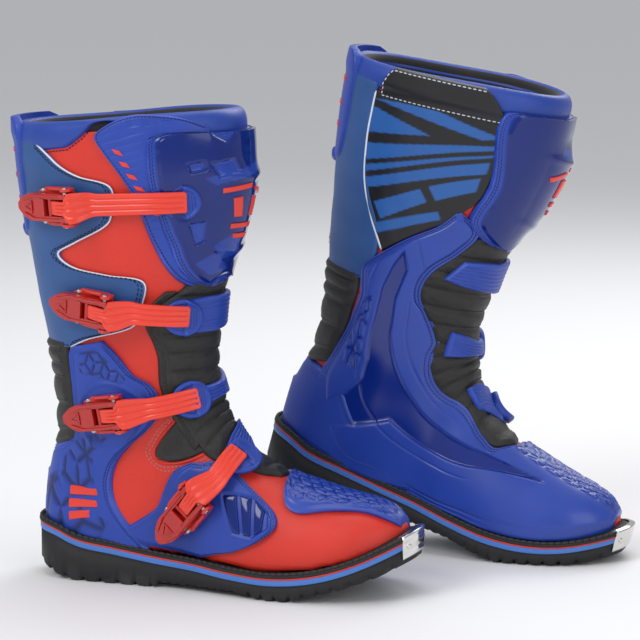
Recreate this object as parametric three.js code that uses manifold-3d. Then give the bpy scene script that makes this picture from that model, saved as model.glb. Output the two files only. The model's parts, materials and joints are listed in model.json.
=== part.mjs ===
// A pair of motocross boots. Millimetres, +Z up, toes toward +X.
// Each boot is drawn once in its own frame: heel at x = 0, sole on z = 0, outer side at +y.
// The right boot mirrors that frame, and the left boot stands on its toe with its heel raised.
import * as THREE from "three";
import { mergeVertices } from "three/addons/utils/BufferGeometryUtils.js";
import Module from "manifold-3d";

const wasm = await Module();
wasm.setup();

// Overall sizes of one boot
const SOLE_LENGTH = 312;
const BOOT_HEIGHT = 372;
const HEEL_X = 6.5;
const TOE_X = 303;
const HEEL_ROUND = 38;
const TOE_ROUND = 62;

// Walls and panels
const SHELL_WALL = 4;
const LINER_WALL = 4.6;
const COLLAR_ROLL = 3.2;
const COLLAR_BAND = 9;
const GAP = 0.4;
const PANEL_GAP = 0.6;
const STRAP_GAP = 1.2;
const SHELL_INSET = 1.9;
const FOOT_WALL = 8;
const LEATHER = 2.4;
const HEEL_PANEL = 3;
const GUARD = 4;
const SHIN_WALL = 5;
const SHIN_RIDGE = 4;
const BELLOWS = 4;
const FRONT_STRAP = 3;
const CATCH_LIP = 4.5;
const WELT = 8;
const SHANK_LENGTH = 110;
const SHANK_WIDTH = 22;
const SHANK_THICK = 1.8;
const FOOTBED_THICK = 4;
const TOE_PLATE = 1.6;

// Buckles
const BASE_LENGTH = 34;
const BASE_WIDTH = 30;
const BASE_THICK = 2.4;
const EAR = 2.6;
const PIN_RADIUS = 1.5;
const PIN_RISE = 5;
const BASE_LIFT = 0.9;
const PIN_PLAY = 0.4;
const LEVER_LENGTH = 48;
const LEVER_WIDTH = 22;
const LEVER_THICK = 5.6;
const LOCK_RADIUS = 1.6;
const LEVER_WINDOW = 13;
const LOCK_BACK = 15;
const TONGUE_WIDTH = 11;
const STRAP_WIDTH = 17;
const SHOULDER_WIDTH = 24;
const STRAP_THICK = 3;
const STRAP_LIFT = 1;

// Placement of the pair
const RIGHT_Y = 0;
const LEFT_X = 120;
const LEFT_Y = 172;
const LEFT_TIP_X = 222;
const LEFT_TILT = 15.2;

const rad = THREE.MathUtils.degToRad;
const clamp = THREE.MathUtils.clamp;

// A smooth curve through knots of [place, value]
function curve(...knots) {
  const last = knots.length - 1;
  const slope = (i) => (knots[i + 1][1] - knots[i][1]) / (knots[i + 1][0] - knots[i][0]);
  const tangent = (i) => {
    if (i === 0) return slope(0);
    if (i === last) return slope(last - 1);
    const before = knots[i][0] - knots[i - 1][0];
    const after = knots[i + 1][0] - knots[i][0];
    return (slope(i - 1) * after + slope(i) * before) / (before + after);
  };
  return (at) => {
    const x = clamp(at, knots[0][0], knots[last][0]);
    let i = 0;
    while (i < last - 1 && x > knots[i + 1][0]) i += 1;
    const width = knots[i + 1][0] - knots[i][0];
    const t = (x - knots[i][0]) / width;
    const start = knots[i][1] * (1 + 2 * t) * (1 - t) ** 2 + tangent(i) * width * t * (1 - t) ** 2;
    const end = knots[i + 1][1] * t * t * (3 - 2 * t) + tangent(i + 1) * width * t * t * (t - 1);
    return start + end;
  };
}

// Straight lines through the same kind of knots
function straight(...knots) {
  return (at) => {
    const x = clamp(at, knots[0][0], knots[knots.length - 1][0]);
    let i = 0;
    while (i < knots.length - 2 && x > knots[i + 1][0]) i += 1;
    return THREE.MathUtils.mapLinear(x, knots[i][0], knots[i + 1][0], knots[i][1], knots[i + 1][1]);
  };
}

// Side profile of the shaft by height, and of the foot by length
const rearX = curve(
  [30, 13], [75, 12], [95, 12], [112, 17], [140, 18], [160, 16], [185, 11], [220, 4],
  [260, -3], [290, -8], [330, -13], [380, -15],
);
const frontX = curve(
  [30, 120], [75, 130], [100, 138], [130, 143], [165, 141], [200, 144], [234, 148], [260, 155],
  [288, 163], [311, 168], [340, 169], [380, 166],
);
const shaftHalf = curve(
  [36, 32], [60, 34], [100, 36], [130, 40], [160, 42], [190, 44], [230, 50], [280, 57],
  [320, 61], [380, 62],
);
const footTop = curve(
  [0, 70], [30, 100], [70, 115], [110, 122], [140, 124], [158, 117], [172, 105], [185, 96],
  [204, 88], [231, 79], [255, 71], [279, 64], [292, 59], [299, 55], [303, 52],
);
const weltTop = curve(
  [0, 46], [24, 43], [40, 37], [73, 32], [113, 27], [145, 24.5], [177, 21.5], [209, 20.5],
  [240, 24], [271, 33], [294, 43], [312, 52],
);
const soleBottom = straight(
  [0, 15], [12, 8], [25, 3], [40, 0], [108, 0], [112, 4], [175, 4], [195, 1], [204, 0],
  [222, 0], [240, 5], [252, 8.3], [265, 12], [289, 20.5], [312, 32],
);
const outerHalf = curve(
  [0, 36], [30, 38], [60, 39], [100, 40], [130, 42], [170, 50], [205, 55], [240, 54],
  [270, 50], [312, 42],
);
const innerHalf = curve(
  [0, 35], [30, 37], [60, 37], [100, 35], [130, 36], [170, 44], [205, 50], [240, 51],
  [270, 49], [312, 42],
);
const weltBottom = (x) => weltTop(x) - WELT;

// Half width of the sole on one side, rounded off at heel and toe
function soleHalf(x, side) {
  const heel = clamp((HEEL_ROUND - x) / HEEL_ROUND, 0, 1);
  const toe = clamp((x - SOLE_LENGTH + TOE_ROUND) / TOE_ROUND, 0, 1);
  const round = (1 - heel ** 2.3) ** (1 / 2.3) * (1 - toe ** 2.3) ** (1 / 2.3);
  return (side > 0 ? outerHalf(x) : innerHalf(x)) * round;
}

function footHalf(x, side) {
  const along = ((x - HEEL_X) * SOLE_LENGTH) / (TOE_X - HEEL_X);
  return Math.max(0.87 * soleHalf(along, side), 0.01);
}

// Signed distance, roughly, to the boot's outer skin: a shaft and a foot blended at the instep
function skinDistance(x, y, z) {
  const half = (frontX(z) - rearX(z)) / 2;
  const middle = (frontX(z) + rearX(z)) / 2;
  const wide = shaftHalf(z);
  const ring = (Math.abs((x - middle) / half) ** 2.2 + Math.abs(y / wide) ** 2.2) ** (1 / 2.2);
  const shaft = (ring - 1) * Math.min(half, wide);
  const floor = weltTop(x);
  const high = Math.max(footTop(x) - floor, 1);
  const side = footHalf(x, y);
  const arch = Math.abs(y / side) ** 2.5 + (Math.max(z - floor, 0) / high) ** 2.2;
  const dome = (arch ** (1 / 2.35) - 1) * Math.min(side, high);
  const foot = Math.max(dome, HEEL_X - x, x - TOE_X);
  const blend = 8 + 14 * THREE.MathUtils.smoothstep(x, 40, 100);
  const share = clamp(0.5 + (0.5 * (foot - shaft)) / blend, 0, 1);
  const joined = foot * (1 - share) + shaft * share - blend * share * (1 - share);
  return Math.max(joined, floor - z);
}

// Stations run from the toe tip (0) back to the ankle, fan round the instep and climb the shaft
const TOE_RUN = 128;
const FAN = 108;
const SHAFT_START = TOE_RUN + FAN;
const PIVOT_X = TOE_X - TOE_RUN;
const PIVOT_Z = 160;
const toeCentre = curve([175, 55], [262, 53], [290, 50.5], [303, 50]);
const stationOfHeight = (z) => z - PIVOT_Z + SHAFT_START;

function stationFrame(s) {
  const turn = clamp((s - TOE_RUN) / FAN, 0, 1) * (Math.PI / 2);
  const reach = 105 - (10 * turn) / Math.PI;
  const dx = Math.sin(turn);
  const dz = Math.cos(turn);
  if (s < TOE_RUN) return { x: TOE_X - s, z: toeCentre(TOE_X - s), dx, dz };
  const climb = Math.max(s - SHAFT_START, 0);
  return { x: PIVOT_X - dx * reach, z: PIVOT_Z - dz * reach + climb, dx, dz };
}

// Point on the skin at station s and angle (0 front or top, 90 outer side, 180 rear or bottom)
function skin(s, angle, offset = 0) {
  const frame = stationFrame(s);
  const c = Math.cos(rad(angle));
  const side = Math.sin(rad(angle));
  const at = (r) => [frame.x + frame.dx * c * r, side * r, frame.z + frame.dz * c * r];
  let low = 0;
  let high = 150;
  for (let i = 0; i < 30; i += 1) {
    const middle = (low + high) / 2;
    if (skinDistance(...at(middle)) > 0) high = middle;
    else low = middle;
  }
  return at((low + high) / 2 + offset);
}

// Angle where the skin meets the welt at station s
function weltAngle(s, side, thick = 0, clear = 1) {
  let low = 60;
  let high = 179;
  for (let i = 0; i < 24; i += 1) {
    const middle = (low + high) / 2;
    const [inner, outer] = [0, thick].map((offset) => skin(s, side * middle, offset));
    const under = (point) => point[2] < weltTop(point[0]) + clear;
    if (under(inner) || under(outer)) high = middle;
    else low = middle;
  }
  return side * low;
}

// Closes stacked loops of points into one solid. Ends: "strip" for thin panels, "fan" for
// rings and bars, "joined" where the last loop meets the first.
function closedSolid(loops, ends) {
  const count = loops[0].length;
  const points = loops.flat();
  const faces = [];
  const quad = (a, b, c, d) => faces.push([a, b, c], [a, c, d]);
  for (let i = 0; i < loops.length - (ends === "joined" ? 0 : 1); i += 1) {
    const ahead = (i + 1) % loops.length;
    for (let j = 0; j < count; j += 1) {
      const next = (j + 1) % count;
      quad(i * count + j, ahead * count + j, ahead * count + next, i * count + next);
    }
  }
  const end = (start, flip) => {
    const face = (a, b, c) => faces.push(flip ? [a, c, b] : [a, b, c]);
    if (ends === "strip") {
      for (let j = 0; j < count / 2 - 1; j += 1) {
        const back = count - 1 - j;
        face(start + j, start + j + 1, start + back - 1);
        face(start + j, start + back - 1, start + back);
      }
      return;
    }
    const ring = points.slice(start, start + count);
    const centre = [0, 1, 2].map((k) => ring.reduce((sum, p) => sum + p[k], 0) / count);
    points.push(centre);
    for (let j = 0; j < count; j += 1) face(start + j, start + ((j + 1) % count), points.length - 1);
  };
  if (ends !== "joined") {
    end(0, false);
    end((loops.length - 1) * count, true);
  }
  return outward(points, faces);
}

// Turns the faces outward and makes a geometry
function outward(points, faces) {
  let volume = 0;
  for (const [a, b, c] of faces) {
    const [p, q, r] = [points[a], points[b], points[c]].map((v) => new THREE.Vector3(...v));
    volume += p.dot(q.cross(r));
  }
  const geometry = new THREE.BufferGeometry();
  geometry.setAttribute("position", new THREE.Float32BufferAttribute(points.flat(), 3));
  geometry.setIndex(faces.flatMap(([a, b, c]) => (volume < 0 ? [a, c, b] : [a, b, c])));
  geometry.computeVertexNormals();
  return geometry;
}

const spread = (from, to, count) =>
  Array.from({ length: count + 1 }, (_, i) => from + ((to - from) * i) / count);

// Walks a list of [station, angle] corners by a share of their number
function along(corners, share) {
  const place = share * (corners.length - 1);
  const i = Math.min(Math.floor(place), corners.length - 2);
  return [0, 1].map((k) => corners[i][k] + (corners[i + 1][k] - corners[i][k]) * (place - i));
}

// Panel lying on the skin between two edges of the same number of corners
function panel(edgeA, edgeB, lift, thick, columns, splits = 1) {
  const loops = spread(0, 1, (edgeA.length - 1) * splits).map((u) => {
    const [sa, ta] = along(edgeA, u);
    const [sb, tb] = along(edgeB, u);
    const rib = spread(0, 1, columns).map((v) => [sa + (sb - sa) * v, ta + (tb - ta) * v, v]);
    const tall = (s, t, v) => (typeof thick === "function" ? thick(s, t, v, u) : thick);
    const outer = rib.map(([s, t, v]) => skin(s, t, lift + tall(s, t, v)));
    const inner = rib.map(([s, t]) => skin(s, t, lift)).reverse();
    return [...outer, ...inner];
  });
  return closedSolid(loops, "strip");
}

// Slab of the sole between two heights that follow its length
function slab(low, high, grow, from, to, count) {
  const stations = spread(0, 1, count).map((t) => from + (to - from) * (0.5 - 0.5 * Math.cos(Math.PI * t)));
  const loops = stations.map((x) => {
    const outer = Math.max(soleHalf(x, 1) + grow, 0.6);
    const inner = Math.max(soleHalf(x, -1) + grow, 0.6);
    return [[x, outer, low(x)], [x, -inner, low(x)], [x, -inner, high(x)], [x, outer, high(x)]];
  });
  return closedSolid(loops, "fan");
}

function toManifold(geometry) {
  const bare = geometry.clone();
  bare.deleteAttribute("normal");
  bare.deleteAttribute("uv");
  const merged = mergeVertices(bare, 1e-4);
  return new wasm.Manifold(new wasm.Mesh({
    numProp: 3,
    vertProperties: new Float32Array(merged.attributes.position.array),
    triVerts: new Uint32Array(merged.index.array),
  }));
}

function fromManifold(solid) {
  const mesh = solid.getMesh();
  const geometry = new THREE.BufferGeometry();
  geometry.setAttribute("position", new THREE.BufferAttribute(mesh.vertProperties, 3));
  geometry.setIndex(new THREE.BufferAttribute(mesh.triVerts, 1));
  geometry.computeVertexNormals();
  return geometry;
}

function box(x0, x1, y0, y1, z0, z1) {
  const geometry = new THREE.BoxGeometry(x1 - x0, y1 - y0, z1 - z0);
  return geometry.translate((x0 + x1) / 2, (y0 + y1) / 2, (z0 + z1) / 2);
}

// Round bar across a buckle
function crossBar(radius, length, x, z, sides = 8) {
  return new THREE.CylinderGeometry(radius, radius, length, sides).translate(x, 0, z);
}

const paint = {
  red: [0xd8392b, 0.45, 0],
  brightRed: [0xe2402c, 0.35, 0],
  darkRed: [0xb82a20, 0.35, 0],
  blue: [0x2f4fb4, 0.42, 0],
  glossBlue: [0x10309a, 0.18, 0],
  leather: [0x35589f, 0.5, 0],
  lightBlue: [0x5080d8, 0.5, 0],
  black: [0x1c1c1d, 0.65, 0],
  lining: [0x202022, 0.9, 0],
  steel: [0xc9cbcc, 0.28, 1],
};

// The collar is lower at the heel side than at the shin
const collarDrop = (s, angle) =>
  Math.max(s - 380, 0) / 60 * 5.5 * (1 - Math.cos(rad(angle)));

const RIM = stationOfHeight(BOOT_HEIGHT) - COLLAR_BAND;
const RING = spread(0, 360, 20).slice(0, 20);
const ringAt = (s, offset) => RING.map((angle) => skin(s - collarDrop(s, angle), angle, offset));

// Steps from the toe to the rim, close together where the heel turns
const shellSteps = [1.5, 6, 14, 26, 42, 62, 84, 104, 120, 134, 148, 160, 172, 182, 189, 194, 198,
  203, 208, 213, 220, 230, 244, 262, 284, 310, 340, 374, 406, RIM];
const footSteps = [22, 40, 66, 94, 120, 144, 164, 182, 194, 204, 214, 226];
const LINER_FROM = 238;

function upperShell() {
  const outside = shellSteps.map((s) => ringAt(s, -SHELL_INSET));
  const foot = footSteps.map((s) => ringAt(s, -SHELL_INSET - FOOT_WALL));
  const leg = [LINER_FROM, LINER_FROM + 0.1, 262, 310, 374, RIM];
  const ledge = leg.map((s, i) => ringAt(s, -SHELL_INSET - (i === 0 ? FOOT_WALL : SHELL_WALL)));
  return closedSolid([...outside, ...ledge.reverse(), ...foot.reverse()], "fan");
}

// Padded lining of the shaft, rolled over the rim as a collar
function liner() {
  const out = -SHELL_INSET - SHELL_WALL - GAP;
  const inner = out - LINER_WALL;
  const top = RIM + COLLAR_BAND;
  const profile = [
    [LINER_FROM + 0.5, out], [262, out], [310, out], [374, out], [RIM, out],
    [RIM + GAP, out], [RIM + GAP, COLLAR_ROLL - 1], [RIM + 3, COLLAR_ROLL],
    [top - 2, COLLAR_ROLL - 0.6], [top, 0], [top, -6], [top - 3, inner - 0.6],
    [RIM - 6, inner - 0.8], [374, inner], [310, inner], [262, inner], [LINER_FROM + 0.5, inner],
  ];
  return closedSolid(profile.reverse().map(([s, offset]) => ringAt(s, offset)), "joined");
}

function footbed() {
  const rise = SHELL_INSET + FOOT_WALL + 2.4;
  const inset = -30;
  const low = (x) => weltTop(x) + rise;
  return slab(low, (x) => low(x) + FOOTBED_THICK, inset, 46, 236, 12);
}

function outsole() {
  return slab(soleBottom, (x) => weltBottom(x) - GAP, 0, 0.4, SOLE_LENGTH, 28);
}

const SHANK_FROM = 62;

function welt() {
  const body = slab(weltBottom, (x) => weltTop(x) - GAP, -1, 1.4, SOLE_LENGTH - 1, 24);
  const slot = slab(
    (x) => weltTop(x) - GAP - SHANK_THICK - GAP,
    (x) => weltTop(x) + 3,
    0, SHANK_FROM - GAP, SHANK_FROM + SHANK_LENGTH + GAP, 10,
  );
  const trim = box(0, SOLE_LENGTH, -SHANK_WIDTH / 2 - GAP, SHANK_WIDTH / 2 + GAP, 0, 90);
  return fromManifold(toManifold(body).subtract(toManifold(slot).intersect(toManifold(trim))));
}

function shank() {
  const loops = spread(SHANK_FROM, SHANK_FROM + SHANK_LENGTH, 10).map((x) => {
    const low = weltTop(x) - GAP - SHANK_THICK;
    const half = SHANK_WIDTH / 2;
    return [[x, half, low], [x, -half, low], [x, -half, low + SHANK_THICK], [x, half, low + SHANK_THICK]];
  });
  return closedSolid(loops, "fan");
}

// Steel plate bent round the front of the sole and welt
function toeGuard() {
  const edge = (turn, out, z) => {
    const bend = 2 / 2.3;
    const x = SOLE_LENGTH - TOE_ROUND + TOE_ROUND * Math.abs(Math.sin(rad(turn))) ** bend;
    const c = Math.cos(rad(turn));
    const half = c > 0 ? outerHalf(x) : innerHalf(x);
    const y = Math.sign(c) * half * Math.abs(c) ** bend;
    const away = new THREE.Vector2(x - SOLE_LENGTH + TOE_ROUND, y * 1.1).normalize();
    return [x + away.x * out, y + away.y * out, z];
  };
  const lift = GAP;
  const loops = spread(48, 132, 14).map((turn) => {
    const x = edge(turn, 0, 0)[0];
    const low = soleBottom(x) + 3;
    const high = weltTop(x) + 4;
    const out = lift + TOE_PLATE;
    return [edge(turn, out, low), edge(turn, out, high), edge(turn, lift, high), edge(turn, lift, low)];
  });
  return closedSolid(loops, "fan");
}

// Lower edge of the heel panel, just above the welt, at one angle round the heel
function heelEdge(angle) {
  let low = 150;
  let high = 213;
  for (let i = 0; i < 24; i += 1) {
    const middle = (low + high) / 2;
    const points = [0, PANEL_GAP + HEEL_PANEL + 0.5].map((offset) => skin(middle, angle, offset));
    if (points.some((point) => point[2] < weltTop(point[0]) + 1)) low = middle;
    else high = middle;
  }
  return [high, angle];
}

// Outlines of the panels as [station, angle] corners
const onWelt = (s, side) => [s, weltAngle(s, side, PANEL_GAP + GUARD)];

function calfPanel() {
  const front = [[422, 139], [414, 130], [405, 120], [398, 106], [391, 82], [370, 82], [360, 89],
    [347, 114], [337, 130], [327, 118], [322, 88], [318, 59], [300, 59], [286, 63], [279, 76],
    [271, 110], [264, 134]];
  const rear = [[422, 226], [414, 226], [405, 226], [398, 226], [390, 226], [372, 226], [362, 227],
    [348, 228], [340, 229], [332, 230], [324, 232], [316, 235], [303, 237], [290, 237], [281, 237],
    [273, 236], [265, 234]];
  return panel(front, rear, PANEL_GAP + 0.5, LEATHER, 13);
}

function medialPanel() {
  const rear = [[416, -132], [404, -132], [376, -132], [345, -129], [319, -121], [300, -107]];
  const front = [[428, -52], [408, -50], [390, -48], [372, -49], [352, -60], [318, -85]];
  return panel(rear, front, PANEL_GAP - 1.5, LEATHER, 9);
}

function rearBellows() {
  const outer = [[261.5, 140], [250, 139], [238, 139], [226, 140], [215.5, 143]];
  const inner = [[261.5, 230], [250, 234], [238, 232], [228, 228], [216, 216]];
  return panel(outer, inner, PANEL_GAP - 0.7, BELLOWS, 8, 1);
}

function frontBellows() {
  const inner = [[306, -32], [296, -40], [284, -50], [272, -54], [262, -50], [252, -40], [240, -32],
    [226, -28], [212, -31], [198, -32], [184, -28], [170, -23], [156, -18], [142, -18], [128, -25],
    [112, -30], [101, -12]];
  const outer = [[307, 30], [296, 44], [284, 48], [272, 44], [262, 40], [252, 38], [240, 37],
    [226, 35], [212, 33], [198, 30], [184, 30], [170, 30], [156, 30], [142, 30], [128, 26],
    [112, 22], [101, 10]];
  return panel(inner, outer, PANEL_GAP, BELLOWS, 6);
}

function heelCounter() {
  const front = [[268, 98], [259, 84], [250, 73], [243, 65], [237, 52], [229, 46], [219, 46],
    [210, 49], [204, 62], [201, 84], [196, 116], [186, 133], heelEdge(141), heelEdge(150),
    heelEdge(159), heelEdge(168), heelEdge(180), heelEdge(191), heelEdge(202)];
  const rear = [[264, 126], [258, 134], [250, 135], [242, 135], [234, 135], [226, 136],
    [219, 138], [213.5, 143], [212.5, 148], [212, 152], [212, 156], [212, 160], [212, 164],
    [212, 168], [211.5, 174], [211.5, 181], [211, 188], [210, 195], [209, 202]];
  return panel(front, rear, PANEL_GAP + 0.5, HEEL_PANEL, 7);
}

function medialGuard() {
  const front = [[341, -50], [327, -34], [309, -41], [289, -55], [274, -60], [261, -57],
    [252, -47], [231, -34], [214, -37], [196, -38], [178, -34], [156, -26], [139, -27],
    [124, -36], [111, -40], [98, -17], [95, 12], [92, 46], [87, 66], [75, 72], [52, 62],
    [29, 53], [15, 54], [7, 60]];
  const low = [[340, -52], [325, -64], [308, -86], [293, -102], [276, -120], [263, -120],
    [251, -119], [231, -124], [219, -136], [209, -150], [197, -150], onWelt(179, -1),
    onWelt(168, -1), onWelt(152, -1), onWelt(132, -1), onWelt(112, -1), onWelt(100, -1),
    onWelt(94, -1), onWelt(86, -1), onWelt(72, -1), onWelt(50, -1), onWelt(29, -1),
    onWelt(15, -1), onWelt(7, -1)];
  return panel(front, low, PANEL_GAP + 0.8, GUARD, 9);
}

function midfootGuard() {
  const rear = [[178, 52], [172, 66], [170, 90], [170, 106], [172, 118], [174, 130]];
  const front = [[128, 38], [106, 60], [96, 74], [95, 92], [108, 102], [132, 116]];
  return panel(rear, front, PANEL_GAP - 0.75, GUARD, 7, 1);
}

// Glossy shin plate with its gaiter flange, a raised spine and the first catch
const CATCH_ONE = 38;

function shinPlate() {
  const outer = [[428, 92], [416, 86], [404, 77], [392, 70], [380, 64], [368, 60], [356, 56],
    [344, 51], [330, 44], [320, 34], [314, 18], [312, 4]];
  const inner = [[428, -44], [416, -45], [404, -45], [392, -44], [380, -43], [368, -43],
    [356, -44], [344, -45], [334, -38], [330, -30], [325, -16], [318, -4]];
  const tall = (s, angle) => {
    const spine = SHIN_RIDGE * Math.max(0, 1 - Math.abs(angle - 6) / 22);
    const reach = THREE.MathUtils.smoothstep(s, 330, 362) * (1 - THREE.MathUtils.smoothstep(s, 405, 420));
    return SHIN_WALL + spine * reach;
  };
  return panel(outer, inner, PANEL_GAP, tall, 10);
}

// Ribbed strap across the front bellows, ending in the catch that holds a buckle strap
function frontStrap(upper, lower, lip) {
  const lift = PANEL_GAP + BELLOWS + STRAP_GAP;
  const tall = (s, angle) => FRONT_STRAP + (Math.abs(angle - lip) < 3.1 ? CATCH_LIP : 0);
  return panel(upper, lower, lift, tall, 2, 1);
}

const STRAP_SEAT = PANEL_GAP + BELLOWS + STRAP_GAP + FRONT_STRAP;

// Each buckle: where its base sits, where its strap ends, and the front strap it closes on
const buckles = [
  { base: [376, 122], end: [381, 38], cover: PANEL_GAP + LEATHER, seat: PANEL_GAP + SHIN_WALL },
  { base: [297, 102], end: [291, 31], cover: PANEL_GAP + LEATHER, seat: STRAP_SEAT },
  { base: [221, 98], end: [217, 24], cover: PANEL_GAP + HEEL_PANEL, seat: STRAP_SEAT },
  { base: [153, 88], end: [131, 22], cover: PANEL_GAP + GUARD - 1.2, seat: STRAP_SEAT },
];

// Front straps 2 to 4 as upper and lower edges of [station, angle] corners, from the inner side out
const frontStraps = [
  {
    upper: [[303, -36], [304, -30], [305, -22], [305, -14], [305, -5], [305, 8], [305, 18], [305, 24], [305, 31], [305, 38], [305, 45]],
    lower: [[285, -46], [283, -38], [281, -27], [280, -16], [278, -5], [277, 8], [277, 18], [277, 24], [277, 31], [277, 38], [277, 45]],
    lip: 21,
  },
  {
    upper: [[243, -28], [242, -21], [240, -14], [238, -8], [236, -2], [234, 4], [233, 10], [232, 15], [232, 22], [232, 29], [232, 36]],
    lower: [[214, -30], [211, -22], [208, -14], [206, -8], [204, -2], [203, 4], [202, 10], [202, 15], [202, 21], [202, 27], [202, 33]],
    lip: 12,
  },
  {
    upper: [[163, -18], [158, -10], [152, -2], [150, 2], [148, 8], [147, 13], [146, 22], [146, 34]],
    lower: [[138, -18], [130, -10], [124, -2], [121, 2], [119, 8], [118, 13], [117, 22], [117, 32]],
    lip: 10,
  },
];

// Frame of a buckle on the skin: a points back along the lever, n outward, b across
function buckleFrame(item, mirror) {
  const place = ([s, angle], lift) => {
    const [x, y, z] = skin(s, angle, lift);
    return new THREE.Vector3(x, y, z);
  };
  const centre = place(item.base, 0);
  const step = 0.5;
  const slope = (axis) => {
    const ahead = centre.clone().addScaledVector(axis, step);
    const behind = centre.clone().addScaledVector(axis, -step);
    return skinDistance(ahead.x, ahead.y, ahead.z) - skinDistance(behind.x, behind.y, behind.z);
  };
  const axes = [new THREE.Vector3(1, 0, 0), new THREE.Vector3(0, 1, 0), new THREE.Vector3(0, 0, 1)];
  const n = new THREE.Vector3(...axes.map(slope)).normalize();
  const a = centre.clone().sub(place(item.end, 0));
  a.addScaledVector(n, -a.dot(n)).normalize();
  const b = n.clone().cross(a);
  return { centre, n, a, b, mirror };
}

// Height of a covered skin above the buckle's plane at local (along, across)
function skinHeight(frame, alongA, acrossB, cover) {
  const foot = frame.centre.clone()
    .addScaledVector(frame.a, alongA)
    .addScaledVector(frame.b, acrossB);
  let low = -60;
  let high = 40;
  for (let i = 0; i < 30; i += 1) {
    const middle = (low + high) / 2;
    const p = foot.clone().addScaledVector(frame.n, middle);
    if (skinDistance(p.x, p.y, p.z) < cover) low = middle;
    else high = middle;
  }
  return high;
}

const PIN_AT = -BASE_LENGTH / 2 + 4;

// Base channel with two ears and the hinge pin, riveted to the panel under it
function buckleBase(floor) {
  const half = BASE_WIDTH / 2;
  const plate = box(-BASE_LENGTH / 2, BASE_LENGTH / 2, -half, half, floor, floor + BASE_THICK);
  const pinZ = floor + BASE_THICK + PIN_RISE;
  const top = pinZ + PIN_RADIUS + 1.5;
  let solid = toManifold(plate);
  for (const side of [-1, 1]) {
    const inner = side * (half - EAR);
    const [y0, y1] = [Math.min(inner, side * half), Math.max(inner, side * half)];
    solid = solid.add(toManifold(box(PIN_AT - 4, PIN_AT + 6, y0, y1, floor + 1, top)));
  }
  return fromManifold(solid.add(toManifold(crossBar(PIN_RADIUS, BASE_WIDTH - 1, PIN_AT, pinZ))));
}

// Lever: two arms round the pin, joined by the lock bar and a pointed tail. Origin on the pin.
function buckleLever() {
  const half = LEVER_WIDTH / 2;
  const window = LEVER_WINDOW / 2;
  const outline = new THREE.Shape();
  outline.moveTo(-3.6, -half);
  outline.lineTo(LEVER_LENGTH * 0.62, -half);
  outline.lineTo(LEVER_LENGTH - 8, -half * 0.72);
  outline.lineTo(LEVER_LENGTH, -2.5);
  outline.lineTo(LEVER_LENGTH, 2.5);
  outline.lineTo(LEVER_LENGTH - 8, half * 0.72);
  outline.lineTo(LEVER_LENGTH * 0.62, half);
  outline.lineTo(-3.6, half);
  outline.lineTo(-3.6, window);
  outline.lineTo(LOCK_BACK + 4, window);
  outline.lineTo(LOCK_BACK + 4, -window);
  outline.lineTo(-3.6, -window);
  outline.closePath();
  const plate = new THREE.ExtrudeGeometry(outline, { depth: LEVER_THICK, bevelEnabled: false });
  plate.translate(0, 0, -LEVER_THICK / 2);
  const bore = crossBar(PIN_RADIUS + PIN_PLAY, BASE_WIDTH, 0, 0);
  const lock = crossBar(LOCK_RADIUS, LEVER_WINDOW + 2, LOCK_BACK, 0, 8);
  return fromManifold(toManifold(plate).subtract(toManifold(bore)).add(toManifold(lock)));
}

// Strap from the lock bar over the pin to its catch. Origin on the lock bar.
function buckleStrap(frame, item, pinZ) {
  const start = PIN_AT + LOCK_BACK;
  const endPoint = new THREE.Vector3(...skin(...item.end, 0)).sub(frame.centre);
  const last = endPoint.dot(frame.a);
  const drift = endPoint.dot(frame.b);
  const first = start - LOCK_RADIUS - GAP;
  const stations = [first, start - 4, PIN_AT - 3.5, PIN_AT - 7, PIN_AT - 12];
  const run = PIN_AT - 20;
  stations.push(...spread(run, last, 6));
  const loops = stations.map((at) => {
    const share = clamp((PIN_AT - 10 - at) / (PIN_AT - 10 - last), 0, 1);
    const middle = drift * share;
    let half = STRAP_WIDTH / 2;
    if (at > PIN_AT - 4) half = TONGUE_WIDTH / 2;
    else if (at > PIN_AT - 16) half = SHOULDER_WIDTH / 2;
    const cover = item.seat + STRAP_LIFT;
    const ground = Math.max(
      ...[-half, 0, half].map((side) => skinHeight(frame, at, middle + side, cover)),
    );
    const over = at > start - 4 ? -STRAP_THICK / 2 : PIN_RADIUS + 0.6;
    const bridge = at > PIN_AT - 14 ? pinZ + over : -100;
    const low = Math.max(at > start - 4 ? -100 : ground, bridge);
    const high = low + STRAP_THICK;
    const shift = (z) => z - pinZ;
    return [
      [at - start, middle + half, shift(low)], [at - start, middle - half, shift(low)],
      [at - start, middle - half, shift(high)], [at - start, middle + half, shift(high)],
    ];
  });
  return closedSolid(loops, "fan");
}

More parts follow.
